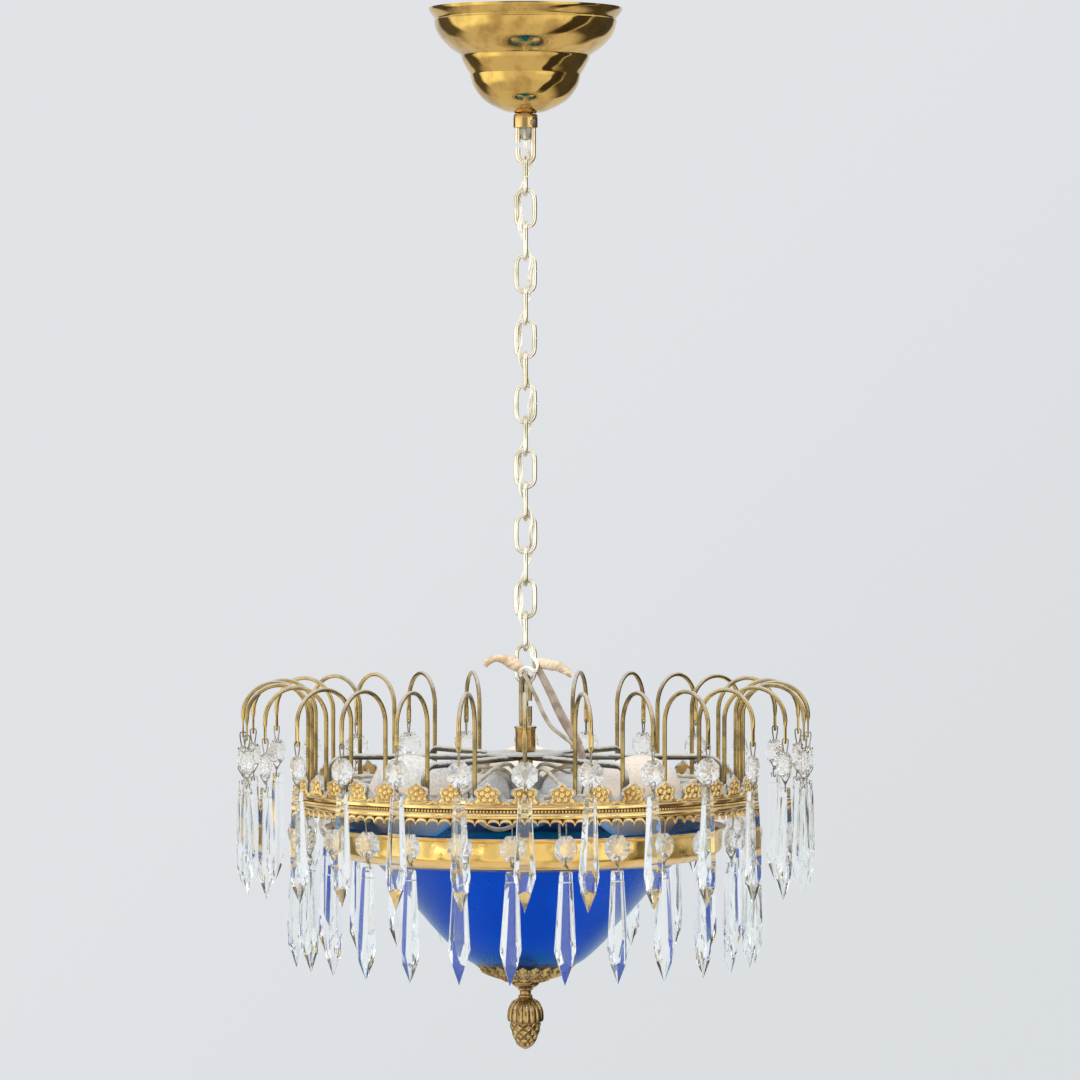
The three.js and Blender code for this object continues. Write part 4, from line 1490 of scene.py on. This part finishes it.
def leafCap():
    # a stamped rosette whose leaf tips reach on to the glass
    s = leafSize
    outer = [tuple(p) for p in flowing(s["face"], 5)]
    points, shadeMarks = [], []
    for side in range(s["sides"]):
        angle = 2 * math.pi * side / s["sides"]
        reach = s["tipReach"] * max(1 - leafShare(angle, s["leaves"]) / s["tipWidth"], 0) ** 0.8
        tips = [(s["rim"] + reach * t, s["rimZ"] + reach * t * 0.75) for t in (1.0, 0.66, 0.33)]
        line = tips + outer
        back = [(r - 0.3, z + s["wall"]) for r, z in line[::-6]]
        for i, (radius, z) in enumerate(line + back):
            push = leafRelief(angle, radius) if i < len(line) else 0
            spread = push * 0.35 if i > 3 else 0
            radius += spread
            points.append((radius * math.cos(angle), radius * math.sin(angle), z - push * 0.8))
            # painted shade in the deep gaps between the leaves
            shadeMarks.append(min(max(0.1 - push, 0), 1))
    cap = newMesh(points, gridFaces(s["sides"], len(line + back)), 60, shadeMarks)
    cap = joined([cap, turned(s["collar"], 48)])
    piece("leafCap", cap, "leafBrass", "bowl", "leaf_brass", "leaf_cap")


leafCap()

finialSize = {
    "head": [
        (0, -718.95), (1.5, -718.7), (3.2, -717.5), (5, -715.5), (6.6, -712.6), (7.8, -710), (8.8, -707),
        (9.6, -704), (10.0, -701.6), (10.1, -700.4), (10.7, -699.9), (11.3, -698.8), (11.6, -697.2),
        (11.6, -695), (11.2, -692), (10.2, -689), (8.8, -686.4), (7.2, -684.6), (5.6, -683.4),
        (4.8, -682.9), (5.1, -682.3), (5.1, -681.7), (4.6, -681.3), (4, -680.6), (3.9, -679.8),
        (4.3, -678.4), (5, -677.8), (5.4, -677.3), (5.3, -676.8), (6.6, -676.2), (8.4, -675), (9.5, -673.8),
        (10, -672.6), (10, -671.9), (9.6, -671.4), (3, -671.4), (0, -671.4)],
    "corners": (9, 10, 19, 22, 28, 34, 35), "gadroons": 18, "scaleRows": 6, "scaleColumns": 9,
    "scalesFrom": -718, "edge": -700.4, "gadroonsTo": -684, "ribHeight": 1.3, "scaleHeight": 0.95,
    "stud": [
        (0, -671.4), (3, -671.4), (3, -662.5), (9, -662.5), (9, -661.3), (6, -661.3), (6, -656), (3, -656),
        (3, -654), (0, -654)],
}


def finialRelief(angle, radius, z):
    # round-backed gadroons on the cup, and a lattice of scales on the acorn below it
    s = finialSize
    tip, edge, top = s["scalesFrom"], s["edge"], s["gadroonsTo"]
    if edge + 0.2 < z < top:
        fade = min((z - edge - 0.2) / 1.2, (top - z) / 2.5, 1)
        rib = abs(math.sin(angle * s["gadroons"] / 2))
        return (rib ** 0.6 - 0.75) * s["ribHeight"] * fade * radius / 12
    if tip < z < edge:
        turns = (edge - z) / (edge - tip) * s["scaleRows"]
        across = angle * s["scaleColumns"] / math.pi
        first, second = (abs(math.sin(math.pi * (across + lean) / 2)) for lean in (turns, -turns))
        fade = min((edge - z) / 0.8, (z - tip) / 3, 1)
        return (min(first, second) ** 0.7 * 1.9 - 1.0) * s["scaleHeight"] * fade
    return 0


def finial():
    s = finialSize
    corners = [len(s["head"]) - 1 - i for i in s["corners"]]
    line = [(max(r, 0.0), z) for r, z in flowing(s["head"][::-1], 6, corners)]
    head = turned(line[::-1], 240, finialRelief, 60)
    piece("finialHead", head, "darkBrass", "finial", "dark_brass", "finial")
    stud = turned(s["stud"], 6, crispAngle=20)
    piece("finialStud", stud, "hangerSteel", "finial", "hanger_steel")


finial()
print("bowl ready")


# Lampholders, bulbs and the loose cords inside the ring

lampSize = {
    "z": -543, "angles": (-30, 90, 210), "dusty": (0.6, 0.15, 0.96),
    "body": [(0, -530), (9, -530), (12.2, -531.4), (13, -534), (13, -552), (12, -555), (9, -556), (0, -556)],
    "socket": [
        (0, 18.4), (8, 18.4), (13, 19.4), (15.2, 21.6), (15.5, 24), (15.5, 47), (14.9, 47.4), (14.9, 51.4),
        (14.3, 52), (13.7, 52), (13.7, 22), (0, 22)],
    "arm": [(0, 8), (5, 8), (5, 19), (0, 19)],
    "bulb": [
        (0, 120), (5.6, 119.4), (11, 117.8), (16.6, 115), (21, 111.4), (25, 107), (27.7, 102), (29.5, 96),
        (30, 90), (29.2, 83), (27, 76), (23.8, 69.4), (20, 63), (16.6, 58), (14.2, 54.2), (12.9, 52.4)],
    "thread": {"radius": 12.6, "crest": 0.35, "top": 52.2, "bottom": 24, "rows": 20},
    "capEnd": [(11.2, 22.9), (4, 22.6), (4, 24), (11, 25), (11.6, 50), (12, 52)],
}


def alongX(mesh, angle):
    # a mesh turned about Z, laid along X at the lampholders' height and swung to its angle
    copy = mesh.copy()
    copy.transform(turnZ(angle) @ moved(0, 0, lampSize["z"]) @ Matrix.Rotation(math.pi / 2, 4, "Y"))
    return copy


def lampholders():
    s = lampSize
    socket = joined([turned(s["socket"], 48), turned(s["arm"], 32)])
    parts = [turned(s["body"], 48)] + [alongX(socket, angle) for angle in s["angles"]]
    piece("lampholders", shaded(joined(parts), 35), "moulding", "lamp", "socket_moulding", "lamp_cluster")
    bulb = turned(walled(flowing(s["bulb"], 4), 1), 64, crispAngle=50)
    t = s["thread"]
    rows = enumerate(np.linspace(t["top"], t["bottom"], t["rows"]))
    rolled = [(t["radius"] + (t["crest"] if 26 < z < 48 and i % 2 else 0), z) for i, z in rows]
    cap = turned(rolled + s["capEnd"], 48, crispAngle=60)
    for number, angle in enumerate(s["angles"], 1):
        name = f"bulb_{number}"
        glass = alongX(bulb, angle)
        marked(glass, "dusty", [s["dusty"][number - 1]] * len(glass.vertices))
        piece(f"bulbGlass{number}", glass, "opalGlass", name, "opal_glass", name)
        piece(f"bulbCap{number}", alongX(cap, angle), "screwSteel", name, "hanger_steel")


lampholders()

looseCords = {
    # each point is its distance from the axis, its angle round it and its height
    "front": {"radius": 1.5, "mouths": (-130, -66), "points": [
        (50, -126.5, -529.5), (85, -124.5, -541), (110, -127.2, -540.8), (126.4, -129.1, -537.4),
        (133.2, -128.8, -535.7), (139.2, -127.3, -535.2), (143.4, -125, -535.2), (145, -122.4, -535.2),
        (144, -119.6, -535.2), (140.4, -115.8, -535.2), (136.5, -113, -535.4), (133, -111.2, -536.6),
        (130.5, -109.3, -539.8), (128.7, -107.5, -544.6), (127.4, -105.6, -549.8), (126.3, -103.2, -554.6),
        (125.6, -100.6, -558), (125.4, -98, -559.2), (125.8, -95.4, -558), (126.8, -92.8, -554.6),
        (128, -90.8, -549.8), (129.4, -89.2, -544.6), (131.3, -87.6, -539.8), (134, -86, -536.6),
        (138, -83.6, -535.4), (142, -79.6, -535.2), (142.2, -74.6, -535.2), (136, -70, -535.6),
        (120, -67, -538.5), (90, -66, -542.5), (55, -66, -531.5)]},
    "left": {"radius": 1.5, "turn": 148, "spread": 1.0},
    "right": {"radius": 1.4, "turn": 32, "spread": 0.94},
}
cordShape = {
    "mouth": [(10.5, -534), (15, -529.5), (20, -525.8), (26, -523.2), (33, -523)],
    "halfFold": [
        (46, 28, -527.3), (75, 19, -538.5), (105, 12.8, -541.5), (123, 10.6, -538), (135.5, 8.4, -535.5),
        (142.5, 4.5, -535.3), (144.5, 0, -535.3)],
    "mouthsApart": 68, "steps": 6, "step": 4, "rounds": 3,
}


def foldedCord(cord):
    # a cord's free points where it goes out over the ring plate, folds there and comes back
    half = [(distance, away * cord["spread"], z) for distance, away, z in cordShape["halfFold"]]
    out = [(distance, cord["turn"] - away, z) for distance, away, z in half]
    return out + [(distance, cord["turn"] + away, z) for distance, away, z in half[-2::-1]]


def cordLine(cord):
    # from the shoulder of the lampholders' centre and back into it, with its bends eased
    apart = cordShape["mouthsApart"] / 2
    turns = cord["mouths"] if "mouths" in cord else (cord["turn"] - apart, cord["turn"] + apart)
    first, second = ([(distance, turn, z) for distance, z in cordShape["mouth"]] for turn in turns)
    route = first + (cord["points"] if "points" in cord else foldedCord(cord)) + second[::-1]
    points = [(*polar(distance, turn), z) for distance, turn, z in route]
    rough = np.array(flowing(points, cordShape["steps"]))
    along = np.concatenate([[0], np.cumsum(np.linalg.norm(np.diff(rough, axis=0), axis=1))])
    stops = np.linspace(0, along[-1], round(along[-1] / cordShape["step"]) + 1)
    line = np.column_stack([np.interp(stops, along, rough[:, axis]) for axis in range(3)])
    for _ in range(cordShape["rounds"]):
        line[1:-1] = (line[:-2] + 2 * line[1:-1] + line[2:]) / 4
    return [Vector(point) for point in line]


def cordsInside():
    for number, cord in enumerate(looseCords.values(), 1):
        line = cordLine(cord)
        mesh = wire(line, cord["radius"], 12, "cordSheath", wrinkle=0.4)
        obj = piece(f"looseCord{number}", mesh, "cordSheath", "lamp", "flex_sheath")
        freeCord(line, 2 * cord["radius"])


cordsInside()
print("lampholders ready")
